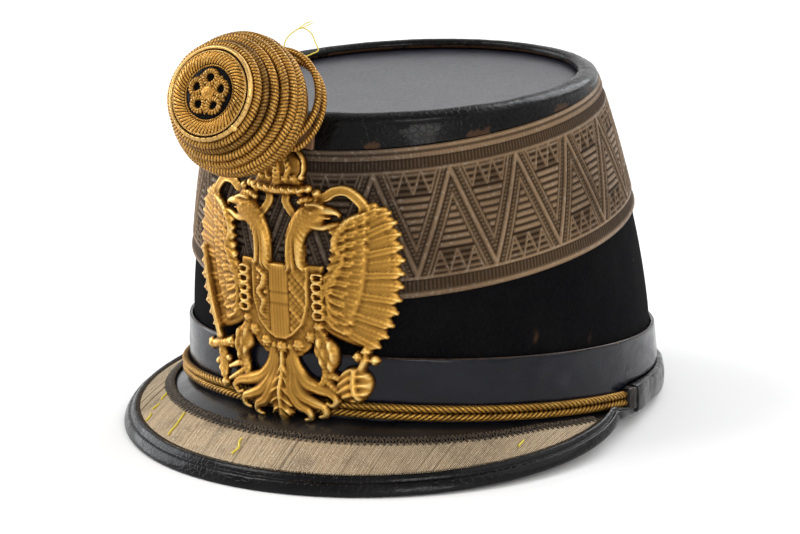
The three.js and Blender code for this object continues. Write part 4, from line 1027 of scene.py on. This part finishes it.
def eagle_wings():
    patch([(32.4, 77.2), (27.6, 75.4), (24.6, 73.0), (21.8, 69.6), (20.4, 66.0), (21.6, 62.8), (24.2, 61.6),
           (22.8, 58.6), (20.8, 54.6), (18.0, 51.4), (15.0, 46.0), (15.6, 37.4), (18.6, 34.6), (26.0, 31.8),
           (32.6, 31.2), (38.0, 37.0), (41.0, 47.0), (41.8, 58.0), (40.8, 68.0), (37.0, 76.4)], 0.7)
    patch([(30.0, 76.2), (27.0, 74.8), (24.2, 72.0), (21.6, 67.0), (22.4, 63.6), (24.6, 61.6), (23.0, 58.0),
           (20.4, 53.8), (18.0, 50.6), (16.2, 45.0), (16.8, 38.4), (19.4, 35.6), (24.0, 35.4), (29.6, 44.0),
           (32.6, 54.0), (33.4, 66.0)], 1.5)
    tips = [(36.8, 79.2), (40.2, 78.0), (42.2, 74.8), (43.5, 70.8), (44.2, 66.4), (44.6, 61.8), (44.4, 57.2),
            (43.9, 52.6), (43.0, 48.0), (41.7, 43.4), (40.0, 39.0), (37.8, 35.0), (35.0, 31.4)]
    for i, (u, v) in enumerate(tips):
        share = i / (len(tips) - 1)
        root = (mix(27.0, 19.0, share), mix(72.5, 39.5, share))
        feather(root, (u, v), 2.55, 1.15 - 0.3 * (i % 2), mix(1.0, 0.2, share), 0.95)
    for count, top, low, half, rise in ((12, (33.2, 76.4), (25.6, 35.6), 2.4, 1.75),
                                        (11, (29.6, 75.0), (22.0, 39.0), 2.3, 2.05),
                                        (8, (26.2, 72.8), (20.6, 51.0), 2.0, 2.3)):
        for i in range(count):
            share = i / (count - 1)
            tip = mix(np.array(top), np.array(low), share) + (2.0 * np.sin(np.pi * share), 0)
            way = unit(tip - mix(np.array([18.0, 70.0]), np.array([10.0, 46.0]), share))
            feather(tip - way * 5.2, tip, half, rise - 0.12 * (i % 2), 0.3, 0.9)
    for i in range(5):
        v = 50.8 - i * 3.1
        stroke([(17.9 + 0.2 * i, v + 3.2, 0.55, 1.9), (19.6 + 0.1 * i, v - 0.4, 0.6, 2.2),
                (24.4, v - 2.6, 0.5, 2.0)])
    stroke([(32.4, 77.6, 0.9, 1.7), (27.4, 75.4, 1.5, 2.3), (23.6, 71.2, 1.7, 2.5), (22.0, 66.6, 1.7, 2.5),
            (23.6, 63.4, 1.3, 2.2), (26.0, 63.6, 0.8, 1.8)], "barbs")
    stroke([(24.6, 61.2, 1.0, 1.9), (22.6, 57.4, 1.5, 2.3), (20.2, 54.0, 1.5, 2.2), (17.6, 51.0, 1.1, 1.8)],
           "barbs")


def eagle_heads():
    stroke([(7.0, 56, 4.3, 1.0), (6.6, 62, 4.1, 1.7), (6.9, 67, 4.0, 2.1), (8.8, 71.4, 4.2, 2.5),
            (11.8, 74.6, 4.8, 2.9), (14.6, 76.0, 4.4, 2.9)], "scales")
    for k in range(9):
        v = 57.5 + 1.75 * k
        middle = float(np.interp(v, (56, 62, 67, 72), (7.0, 6.6, 6.9, 9.2)))
        for way, shift in ((-1, 0.0), (1, 0.9), (-0.2, 0.4)):
            stroke([(middle + 1.0 * way, v + 2.4 + shift, 0.6, 2.5),
                    (middle + 1.9 * way, v + shift, 0.75, 2.75),
                    (middle + 3.1 * way, v - 2.0 + shift, 0.4, 2.1)])
    stroke([(15.6, 77.6, 1.9, 2.8), (18.4, 77.8, 1.9, 2.6), (21.2, 77.6, 1.5, 2.3), (23.2, 76.8, 0.9, 1.8),
            (23.6, 75.6, 0.5, 1.3)])
    stroke([(12.6, 79.6, 0.9, 3.1), (15.6, 79.9, 0.9, 3.3), (18.2, 79.2, 0.7, 3.0)])
    stroke([(13.4, 72.6, 1.7, 2.5), (17.8, 72.0, 1.5, 2.1), (21.8, 73.2, 1.1, 1.7), (25.8, 74.2, 0.8, 1.2)])
    stroke([(16.6, 75.4, 0.8, 1.9), (20.0, 75.2, 0.6, 1.4)])
    knob(14.6, 77.0, 1.3, 3.3)
    knob(14.6, 77.0, 0.55, 4.0)
    stroke([(9.4, 80.2, 1.3, 1.8), (12.0, 81.2, 1.4, 2.0), (15.0, 80.9, 1.3, 1.8)], "ribbed")
    for u, v in ((9.0, 83.2), (12.1, 84.6), (15.2, 83.4)):
        knob(u, v, 1.7, 1.5)
        knob(u, v, 0.8, 2.1)


def eagle_ribbons():
    stroke([(3.6, 82.0, 1.6, 0.8), (3.4, 79.4, 1.6, 1.0), (5.6, 76.4, 1.6, 0.9), (8.0, 73.6, 1.6, 0.7)],
           "band")
    stroke([(15.6, 82.0, 1.3, 0.7), (18.4, 82.4, 1.9, 0.9), (22.0, 84.6, 1.9, 1.1), (26.6, 84.6, 1.9, 1.3),
            (31.4, 80.6, 1.9, 1.2), (31.6, 77.6, 1.8, 0.9), (28.6, 75.2, 1.7, 0.9)], "band")


def great_crown():
    patch([(-1, 82.4), (8.6, 82.6), (10.4, 85.0), (9.6, 88.0), (10.2, 92.0), (8.0, 96.0), (-1, 96.6)], 1.1)
    stroke([(0, 83.6, 1.9, 2.2), (5.0, 83.8, 1.9, 2.1), (10.2, 84.4, 1.6, 1.8)], "ribbed")
    for u in (0.0, 3.2, 6.4, 9.4):
        knob(u, 83.9, 1.1, 2.9, mirror=u > 0)
    stroke([(0, 86.6, 2.3, 1.5), (0, 90.6, 1.7, 2.1), (0, 95.4, 1.0, 1.4)], "ribbed", mirror=False)
    for u, v, reach in ((3.4, 87.6, 1.8), (6.8, 88.0, 1.9), (9.8, 88.4, 1.4)):
        knob(u, v, reach, 1.9, petals=5)
    stroke([(4.0, 88.6, 1.2, 1.5), (4.6, 91.4, 1.4, 1.8), (3.0, 95.2, 1.2, 1.3)], "barbs")
    stroke([(9.6, 88.4, 0.7, 1.9), (10.9, 91.0, 0.7, 2.3), (10.2, 95.2, 0.7, 2.1), (7.4, 98.0, 0.7, 1.7)])


def eagle_tail():
    stroke([(15.0, 33.4, 2.8, 1.4), (16.6, 29.6, 4.7, 2.6), (17.6, 25.6, 3.8, 2.5), (16.6, 21.0, 2.1, 1.8)],
           "scales")
    for u, v in ((14.8, 31.6), (18.6, 31.0), (16.4, 28.4), (19.4, 27.4), (15.4, 25.4), (18.4, 24.0)):
        stroke([(u, v + 1.4, 0.8, 3.0), (u + 0.2, v - 0.4, 1.0, 3.3), (u + 0.5, v - 2.4, 0.5, 2.7)])
    stroke([(16.4, 22.0, 1.7, 1.5), (15.4, 17.6, 1.5, 1.3), (14.8, 14.6, 1.2, 1.0)], "ribbed")
    stroke([(16.6, 20.4, 1.6, 1.8), (19.8, 20.0, 1.5, 1.9), (23.8, 18.4, 1.1, 2.1)], "ribbed")
    stroke([(16.6, 18.6, 1.3, 1.5), (19.6, 16.6, 1.3, 1.6), (23.0, 14.4, 1.0, 1.8)], "ribbed")
    stroke([(3.8, 27.6, 1.8, 0.9), (5.0, 22.4, 2.3, 1.3), (8.8, 17.6, 2.5, 1.6), (14.0, 15.7, 2.3, 1.7),
            (18.4, 14.6, 2.0, 1.7), (20.7, 12.2, 1.5, 1.5), (19.2, 10.0, 1.1, 1.2), (17.4, 10.8, 0.8, 1.0)],
           "grooved")
    stroke([(3.0, 25.0, 1.9, 1.2), (4.6, 18.4, 2.4, 1.6), (7.8, 13.0, 2.6, 1.9), (12.0, 10.7, 2.3, 1.9),
            (15.8, 9.2, 1.8, 1.7), (16.4, 6.6, 1.3, 1.4), (14.2, 5.6, 0.9, 1.1)], "grooved")
    stroke([(2.2, 24.0, 1.8, 1.3), (3.6, 15.0, 2.3, 2.0), (6.6, 9.6, 2.4, 2.1), (10.0, 7.4, 1.9, 1.8),
            (10.8, 5.0, 1.2, 1.4), (8.8, 4.0, 0.9, 1.1)], "grooved")
    patch([(-1, 27), (1.4, 25.4), (2.2, 21), (3.9, 17.4), (3.2, 16.0), (5.2, 13.2), (4.1, 11.8), (5.6, 9.2),
           (4.2, 7.8), (4.6, 5.6), (2.6, 5.6), (1.6, 3.4), (-1, 2.8)], 1.7)
    stroke([(0, 26.6, 0.7, 2.2), (0, 14, 0.9, 2.9), (0, 5, 0.6, 2.3)], mirror=False)
    for v, reach in ((22.0, 1.6), (18.6, 2.9), (15.0, 3.8), (11.4, 4.2), (8.0, 3.6)):
        stroke([(0.5, v, 0.5, 2.4), (reach * 0.6, v - 1.3, 0.6, 2.6), (reach, v - 3.0, 0.45, 2.1)])


def eagle_shield():
    depth, width = np.array([(0, 10.4), (0.5, 10.2), (0.78, 7.9), (0.92, 4.2), (1.0, 0.6)]).T

    def half_at(v, grow):
        down = (SHIELD_TOP + grow - v) / (SHIELD_TALL + 2 * grow)
        return np.interp(down, depth, width + grow, left=-2, right=-2)

    for grow, rise in ((6.6, 0.35), (1.3, 1.5)):
        edge = np.minimum.reduce([half_at(GRID_V, grow) - np.abs(GRID_U), GRID_V - 32.5 + grow,
                                  SHIELD_TOP + min(grow * 0.6, 1.2) - GRID_V])
        dome = smooth(0, 0.6, edge)
        tone = 0.9 + rise * dome
        if grow > 2:
            tone = tone + 0.14 * noise(np.stack([GRID_U, GRID_V, 0 * GRID_U], -1), 1.1)
        carve(edge, tone * (edge > 0))
    edge = np.minimum(half_at(GRID_V, 0.4) - np.abs(GRID_U), 57.2 - GRID_V)
    inside = edge > 0
    pale = np.abs(GRID_U) < PALE
    field = 1.75 + 0.35 * (1 - (GRID_U / 11) ** 2) + 0.22 * pale
    field = field + 0.2 * np.cos(2 * np.pi * GRID_U / 1.15) * pale * (np.abs(GRID_V - 46) > 2.2)
    field = field - 0.5 * smooth(0.4, 0.15, np.abs(np.abs(GRID_U) - PALE))
    lozenge = np.maximum(np.abs((GRID_U + GRID_V) / 2.3 % 1 - 0.5), np.abs((GRID_U - GRID_V) / 2.3 % 1 - 0.5))
    field = field - 0.5 * smooth(0.34, 0.46, lozenge) * (GRID_U > 4.3)
    bend_bar = np.abs((GRID_U + GRID_V * 0.8) / 6.0 % 1 - 0.5)
    field = field + 0.5 * smooth(0.2, 0.12, bend_bar) * (GRID_U > 4.3)
    hatch = np.abs(GRID_V / 1.25 % 1 - 0.5)
    field = field - 0.42 * smooth(0.28, 0.45, hatch) * (GRID_U < -4.3)
    bar = smooth(0.4, 0.1, np.abs(np.abs(GRID_V - 46) - 2.0)) * 0.35
    field = field - bar * pale
    relief[inside] = field[inside]
    stroke([(-8.6, 55.0, 0.7, 1.9), (-6.0, 53.4, 1.0, 2.3), (-6.4, 50.0, 1.3, 2.4), (-8.4, 47.4, 1.2, 2.3),
            (-6.2, 44.2, 1.1, 2.3), (-7.6, 40.6, 0.8, 2.1), (-5.6, 38.6, 0.6, 1.9)], "ribbed", mirror=False)
    knob(-8.3, 52.0, 0.8, 2.2, mirror=False)
    knob(-5.4, 47.4, 0.8, 2.2, mirror=False)
    for v in np.arange(41.2, 57.6, 3.3):
        for way in (-1, 1):
            stroke([(13.5, v + 1.0 * way, 0.55, 2.2), (15.2, v + 1.3 * way, 0.6, 2.5),
                    (16.9, v + 1.0 * way, 0.55, 2.2)])
        knob(13.3, v, 0.7, 2.4)
        knob(17.1, v, 0.7, 2.4)
    for u, v, r in ((14.6, 37.2, 2.1), (11.6, 33.2, 2.4), (6.6, 29.8, 2.5)):
        knob(u, v, r, 1.9, petals=6)
    knob(0, 28.6, 2.5, 2.0, petals=8, mirror=False)
    knob(3.2, 28.9, 1.2, 1.3)


def eagle_regalia():
    stroke([(-39.8, 58.6, 0.8, 2.4), (-34.6, 43.0, 1.25, 3.1), (-29.6, 28.2, 1.5, 2.7)],
           "plain", mirror=False)
    stroke([(-35.4, 24.0, 1.9, 1.9), (-29.6, 25.4, 2.0, 2.5), (-24.4, 26.6, 1.9, 1.9)],
           "ribbed", mirror=False)
    for u, v in ((-36.2, 24.2), (-23.8, 26.8), (-30.4, 28.4), (-29.0, 23.0)):
        knob(u, v, 2.6, 2.2, petals=5, mirror=False)
        knob(u, v, 1.0, 2.9, mirror=False)
    stroke([(-29.4, 24.4, 2.2, 2.1), (-28.0, 20.2, 3.1, 2.7), (-26.6, 15.6, 2.2, 2.3)], "barbs", mirror=False)
    for u, v in ((-31.0, 19.0), (-25.0, 20.8), (-28.6, 17.2)):
        knob(u, v, 1.6, 2.6, mirror=False)
    knob(-25.6, 12.6, 2.3, 2.3, petals=4, mirror=False)
    knob(*ORB, 3.4, mirror=False)
    x, y = (GRID_U - ORB[0]) / ORB[2], (GRID_V - ORB[1]) / ORB[2]
    ball = x ** 2 + y ** 2 < 0.93
    bands = np.cos(13 * (y - 0.3 * x + 0.35 * x ** 2))
    belt = smooth(0.17, 0.09, np.abs(x + 0.25 * y - 0.2 * y ** 2 - 0.1))
    relief[ball] += (0.45 * bands * (1 - belt) + 0.7 * belt)[ball]
    stroke([(28.8, 23.4, 1.5, 2.2), (30.2, 26.0, 1.5, 2.2)], mirror=False)
    for u, v in ((30.8, 29.6), (27.8, 27.6), (33.6, 26.6), (30.6, 26.8)):
        knob(u, v, 2.1, 2.0, petals=4, mirror=False)


def neighbours(values):
    """The mean of each cell's four neighbours."""
    wide = np.pad(values, 1, mode="edge")
    return (wide[2:, 1:-1] + wide[:-2, 1:-1] + wide[1:-1, 2:] + wide[1:-1, :-2]) / 4


def eagle():
    eagle_wings()
    eagle_tail()
    eagle_shield()
    eagle_heads()
    eagle_ribbons()
    great_crown()
    eagle_regalia()
    solid = cover > -CELL * 0.45
    kept = solid[:-1, :-1] & solid[1:, :-1] & solid[:-1, 1:] & solid[1:, 1:]
    touching = np.zeros((4,) + cover.shape, bool)
    for k, (i, j) in enumerate(((0, 0), (1, 0), (0, 1), (1, 1))):
        touching[k, i:i + kept.shape[0], j:j + kept.shape[1]] = kept
    used, border = touching.any(0), touching.any(0) & ~touching.all(0)
    slope = np.stack(np.gradient(cover, CELL), -1)
    steep = np.maximum((slope ** 2).sum(-1), 0.25)
    move = np.where(border, -np.clip(cover, -CELL * 0.6, CELL * 0.6) / steep, 0)
    u, v = GRID_U + slope[..., 0] * move, GRID_V + slope[..., 1] * move
    soft = relief
    for _ in range(2):
        soft = np.where(used, mix(soft, neighbours(soft), 0.35), soft)
    blur = soft
    for _ in range(14):
        blur = neighbours(blur)
    soft = np.where(border, np.minimum(soft, 0.75), np.maximum(soft, 0.6))
    # Painted light: high rises where the relief stands above its blurred surroundings and falls in recesses
    # and at the pierced edges, so the gilt paints highlights and shade there.
    high = np.clip(0.5 + (soft - blur) * 0.75, 0, 1) * smooth(-0.2, 0.5, cover)
    index = np.full(cover.shape, -1)
    index[used] = np.arange(used.sum())
    front = bend(u[used], v[used], soft[used])
    back = bend(u[used], v[used], np.full(used.sum(), STROKE_BACK))
    count = len(front)
    i, j = np.nonzero(kept)
    quads = np.stack([index[i, j], index[i + 1, j], index[i + 1, j + 1], index[i, j + 1]], -1)
    edges = np.concatenate([quads[:, [k, (k + 1) % 4]] for k in range(4)])
    key = edges[:, 0].astype(np.int64) * count + edges[:, 1]
    other = edges[:, 1].astype(np.int64) * count + edges[:, 0]
    rim = edges[~np.isin(key, other)]
    walls = np.stack([rim[:, 1], rim[:, 0], rim[:, 0] + count, rim[:, 1] + count], -1)
    points = np.concatenate([front, back])
    quads = np.concatenate([quads, quads[:, ::-1] + count, walls])
    quads, tris = outward(points, quads, np.zeros((0, 3), int))
    values = np.concatenate([high[used], np.full(count, 0.4)])
    build("pierced_eagle", [(points, quads, tris, {"high": values})], GILT, ["eagle_plate"])


# Rosette, in its own frame: x across, y forwards along its axis, z down
def rosette_place(p):
    c, s = cos_deg(180 - ROSETTE_LEAN), sin_deg(180 - ROSETTE_LEAN)
    x, y, z = p[..., 0], p[..., 1], p[..., 2]
    return np.stack([x, y * c - z * s, y * s + z * c], -1) + ROSETTE_AT


def around_axis(turn, radius, height):
    turn, radius, height = np.broadcast_arrays(turn, radius, height)
    return rosette_place(np.stack([cos_deg(turn) * radius, height, sin_deg(turn) * radius], -1))


axis_way = rosette_place(np.array([0, 1.0, 0])) - rosette_place(np.zeros(3))


def spun(rows, sides=120, ring=False, **data):
    """A solid of revolution round the rosette's axis, or a ring, from rows of (radius, height)."""
    turn = np.arange(sides) * 360 / sides
    rows = np.asarray(rows, float)
    grid = around_axis(turn[:, None], rows[None, :, 0], rows[None, :, 1])
    grid = rounded(grid, 0.35) if ring else grid
    extra = {key: np.broadcast_to(value, grid.shape[:2]) for key, value in data.items()}
    return skin(grid, loop_i=True, loop_j=ring, **extra)


def bullion(path, radius, sides, spacing, **more):
    """A cord of two twisted strands that lies round the rosette's axis."""
    return rope(path, radius, sides, plies=2, spacing=spacing, up=axis_way, **more)


# Each coil is (height, radius, shade)
COILS = [(-15.8, 16.4, 0.0), (-12.6, 18.8, 0.0), (-9.2, 20.8, 0.1), (-5.8, 22.3, 0.0), (-2.3, 23.3, 0.15),
         (1.2, 23.0, 0.0), (4.5, 21.6, 0.1), (7.6, 19.7, 0.0), (10.5, 18.0, 0.75), (13.5, 16.9, 0.1)]


def rosette_coils():
    parts = []
    for k, (height, radius, shade) in enumerate(COILS):
        cord = 1.78 if k < 8 else 1.55
        count = int(2 * np.pi * radius / 0.25)
        turn = np.arange(count) * 360 / count
        wobble = noise(np.stack([cos_deg(turn), sin_deg(turn), 0 * turn + k], -1) * 12, 7) * 0.22
        path = around_axis(turn, radius + wobble, height + wobble[::-1])
        parts.append(bullion(path, cord, 12, 1.15, loop=True, depth=0.3, tint=shade * 0.7,
                             turn=1 if k % 2 else -1))
    for height, reach, start, end in ((-10.4, 1.02, -84, 24), (-15.6, 0.97, -72, 34)):
        turn = np.linspace(start, end, 260)
        bulge = np.sin(np.pi * (turn - start) / (end - start)) ** 0.6
        path = around_axis(turn, 25.2 * mix(0.78, reach, bulge), height + 1.5 * np.sin(np.radians(turn * 2)))
        parts.append(bullion(path, 1.25, 10, 1.1, depth=0.3, tint=0.0))
    build("bullion_coils", parts, GOLD, ["rosette_coils"])
    core = [(0.6, -18.6), (14.0, -18.4), (15.0, -16.4), (17.4, -12.6), (19.4, -9.2), (21.0, -5.8),
            (21.9, -2.3), (21.6, 1.2), (20.2, 4.5), (18.3, 7.6), (16.6, 10.5), (15.4, 13.4), (13.8, 14.6),
            (0.6, 14.6)]
    build("rosette_heart", [spun(core, wear=0.0)], CORE)


def rosette_front():
    turn = np.arange(0, 360, 0.75)
    seam = np.abs((turn / 8.2) % 1 - 0.5) * 2
    lower = smooth(-20, 5, turn) * smooth(165, 140, turn)
    cut = 0.4 * smooth(0.75, 1.0, seam) * lower
    rows = [(14.7, 15.0), (14.9, 16.3), (15.5, 16.85), (16.2, 16.3), (16.5, 15.4), (16.2, 14.8)]
    grid = np.stack([around_axis(turn, r, h - cut * (h > 15.6)) for r, h in rows], 1)
    grid = rounded(grid, 0.5)
    # Painted shade: the notches cut into the ring's lower half are darkened through high, and the whole lower
    # half is darkened through tint.
    high = np.broadcast_to((0.95 - cut * 1.4)[:, None], grid.shape[:2])
    ring = skin(grid, loop_i=True, high=high, tint=np.broadcast_to(0.25 * lower[:, None], high.shape))
    end = ring_end(RING_SEAM)
    thin = bullion(around_axis(turn, 14.15, 16.45), 0.42, 7, 0.8, loop=True, tint=0.1)
    build("bright_ring", [ring, end, thin], BRIGHT, ["rosette_ring"])
    parts = []
    share = np.linspace(0, 1, 9)
    for k in range(PURLS):
        height = 16.1 + 0.95 * np.sin(np.pi * mix(0.12, 0.95, share))
        path = around_axis(k * 360 / PURLS + PURL_SLANT * share, mix(9.7, 13.95, share), height)
        # Painted shade on the flanks of the purl wires.
        parts.append(rope(path, mix(0.38, 0.58, share), 12, up=axis_way, facing=1.0, tint=0.0))
    # The backing behind the purls takes the deep, darkened tone: painted shade between the wires.
    backing = [(9.5, 14.9), (14.0, 14.9), (14.0, 15.9), (11.8, 16.4), (9.5, 15.9)]
    parts.append(spun(backing, 180, ring=True, high=0.0, tint=0.9))
    parts.append(bullion(around_axis(turn, 9.35, 16.35), 0.42, 7, 0.9, loop=True, tint=0.0))
    build("purl_border", parts, GOLD, ["rosette_border"])
    face = [(0.3, 14.9), (9.1, 14.9), (9.1, 16.0), (6.0, 16.1), (0.3, 16.15)]
    build("velvet_centre", [spun(face, wear=0.0)], VELVET, ["rosette_velvet"])


def ring_end(turn):
    """The ring's loose end, laid over its start."""
    t = np.linspace(turn - 4, turn + 4, 9)
    size = np.sqrt(np.clip(1 - ((t - turn) / 4.4) ** 2, 0, 1))
    rows = [(14.6, 15.2), (14.6, 16.4), (15.8, 17.0), (17.2, 16.2), (17.2, 15.2)]
    grid = np.stack([around_axis(t, 15.8 + (r - 15.8) * size, h * size + 15.2 * (1 - size))
                     for r, h in rows], 1)
    grid = rounded(grid, 0.4)
    return skin(grid, high=np.full(grid.shape[:2], 1.0), tint=np.zeros(grid.shape[:2]))


def rosette_ornament():
    """A generic knot of five padded petals and five buds round a button."""
    parts = []
    for k in range(5):
        start = k * 72 - 90
        t = np.linspace(0, 1, 60)
        swing = 27 * np.sin(2 * np.pi * t)
        path = around_axis(start + swing, 2.6 + 2.35 * (1 - np.cos(2 * np.pi * t)), 16.9)
        # Painted shade on the flanks of the petals.
        parts.append(bullion(path, 1.1, 12, 1.0, depth=0.35, facing=0.7, tint=0.0))
        bud = around_axis(start + 36, np.linspace(4.4, 7.4, 14), 16.7)
        parts.append(bullion(bud, 0.95 * np.sin(np.pi * np.linspace(0.12, 0.9, 14)), 8, 0.6, tint=0.1))
    button = [(0.1, 16.2), (2.6, 16.2), (2.7, 17.2), (2.0, 18.0), (0.9, 18.3), (0.1, 18.35)]
    parts.append(spun(button, 40, high=0.8, tint=0.0))
    build("gold_knot", parts, GOLD, ["rosette_knot"])


def rosette_tab():
    turn = np.linspace(-11.5, 8.5, 40)[:, None]
    low = lace_top(0, rim_outer) + 2 * GAP
    up = np.linspace(0, 1, 9)[None, :]
    at = np.stack([turn + 0 * up, up * 5 + 0 * turn, 0 * up * turn], -1)
    lift = 0.3 * smooth(3.0, 8.5, turn) * (1 + noise(at, 1.5))
    front = wall(turn, low + 7.4 * up + 0.3 * np.sin(turn / 2.0), rim_outer + GAP + 1.3 + lift)
    rear = wall(turn, low + 7.4 * up, rim_outer + GAP)[:, ::-1]
    grid = rounded(np.concatenate([front, rear], 1), 0.3)
    build("rosette_leather_tab", [skin(grid, wear=0.5 + 0.3 * noise(grid, 2.0))], BROWN,
          ["rosette_tab"])
    middle = low + 3.7
    end = np.array([ROSETTE_AT[0], wall(-5.3, middle, rim_outer + 2)[1], middle])
    start = rosette_place(np.array([0, -ROSETTE_BACK + 1.0, 0]))
    path = mix(start, end, np.linspace(0, 1, 8)[:, None])
    build("rosette_post", [rope(path, SHANK, 24, tint=0.2)], GILT, ["rosette_shank"])


def loose_threads():
    """Loose silk over the rosette, and the mends on the peak's wires."""
    rows = [
        [(0.2, -106.2, 132.0), (0.9, -105.1, 135.6), (3.3, -103.1, 138.4), (5.2, -101.8, 139.1),
         (7.8, -100.7, 137.5),
         (9.3, -100.4, 134.6), (10.5, -100.3, 131.9), (8.8, -101.5, 130.6), (6.0, -103.8, 129.0)],
        [(3.3, -103.0, 138.3), (5.6, -101.3, 140.5), (7.2, -100.3, 141.4)],
        [(4.4, -102.4, 138.8), (6.3, -101.0, 140.0), (7.9, -100.0, 140.9)],
    ]
    parts = [rope(curve(row, 14 * len(row)), radius, 6, wear=0.0)
             for row, radius in zip(rows, (0.24, 0.2, 0.18))]
    lift = PEAK_THICK + GAP + LACE_SKIN + 0.25
    for x, start, end in ((-59.0, 0.1, 0.34), (-58.0, 0.42, 0.62), (-56.5, 0.7, 0.95), (-38.5, 0.15, 0.85),
                          (-5.0, 0.3, 0.75), (78.0, 0.4, 0.6)):
        path = curve(wire_path(x, np.linspace(start, end, 14), lift), 60)
        path = path + np.stack([noise(path, 2.6, 3.0) * 0.7, 0 * path[:, 0], noise(path, 1.5) * 0.12], -1)
        parts.append(rope(path, 0.42, 7, plies=2, spacing=0.7, depth=0.3, wear=0.0))
    build("loose_silk", parts, SILK)


# Floor, camera and light
RIGHT = (0.861124, 0.508395, -0.000613)
TOP = (-0.116922, 0.199216, 0.972955)
BACK = (0.494768, -0.837763, 0.230992)
CAMERA_AT, FOCAL = (0.415521, -0.707155, 0.247664), 99.84


def studio():
    scene = bpy.context.scene
    camera = bpy.data.objects.new("camera", bpy.data.cameras.new("camera"))
    camera.data.sensor_width, camera.data.lens = 36.0, FOCAL
    camera.data.clip_end = 20
    rotation = Matrix((RIGHT, TOP, BACK)).transposed().to_4x4()
    camera.matrix_world = Matrix.Translation(CAMERA_AT) @ rotation
    scene.collection.objects.link(camera)
    scene.camera = camera

    mesh = bpy.data.meshes.new("floor")
    mesh.from_pydata([(-6, -6, 0), (6, -6, 0), (6, 6, 0), (-6, 6, 0)], [], [(0, 1, 2, 3)])
    floor = bpy.data.objects.new("floor", mesh)
    scene.collection.objects.link(floor)
    look = Look("pale_floor", (0.93, 0.93, 0.93), 0.9)
    look.layers((0.925, 0.925, 0.925), (look.noise(3.0, 2), (0.94, 0.94, 0.94)))
    mesh.materials.append(look.material)

    world = bpy.data.worlds.new("studio")
    world.use_nodes = True
    scene.world = world
    tree = world.node_tree
    background = tree.nodes["Background"]
    coords = tree.nodes.new("ShaderNodeTexCoord")
    split = tree.nodes.new("ShaderNodeSeparateXYZ")
    ramp = tree.nodes.new("ShaderNodeMapRange")
    tree.links.new(coords.outputs["Generated"], split.inputs[0])
    tree.links.new(split.outputs["Z"], ramp.inputs["Value"])
    for key, value in (("From Min", -0.1), ("From Max", 0.75), ("To Min", 1.15), ("To Max", 0.5)):
        ramp.inputs[key].default_value = value
    tree.links.new(ramp.outputs["Result"], background.inputs["Strength"])
    background.inputs["Color"].default_value = (1, 1, 1, 1)

    for name, at, size, power, color in (
            ("key", (-0.9, -0.7, 1.5), 0.8, 13, (1, 0.985, 0.96)),
            ("right_top", (1.1, 0.5, 1.2), 1.4, 5, (1, 0.99, 0.98)),
            ("left_panel", (-1.5, -0.1, 0.5), 1.1, 12, (0.93, 0.96, 1)),
            ("right_panel", (1.2, -0.9, 0.75), 0.7, 7, (1, 0.98, 0.95)),
            ("back_panel", (0.2, 1.5, 1.2), 1.2, 16, (0.95, 0.97, 1))):
        light = bpy.data.lights.new(name, "AREA")
        light.shape, light.size, light.energy, light.color = "DISK", size, power, color
        lamp = bpy.data.objects.new(name, light)
        lamp.location = at
        lamp.rotation_euler = (Vector(at) - Vector((0, 0, 0.07))).to_track_quat("Z", "Y").to_euler()
        scene.collection.objects.link(lamp)
    scene.view_settings.view_transform = "Standard"


for make in (crown_felt, crown_disc, crown_rim, crown_band_lace, leather_band, peak_leather, peak_wires,
             peak_gimp, peak_edge, chin_cords, neck_flap, eagle, rosette_coils, rosette_front,
             rosette_ornament, rosette_tab, loose_threads, studio):
    make()
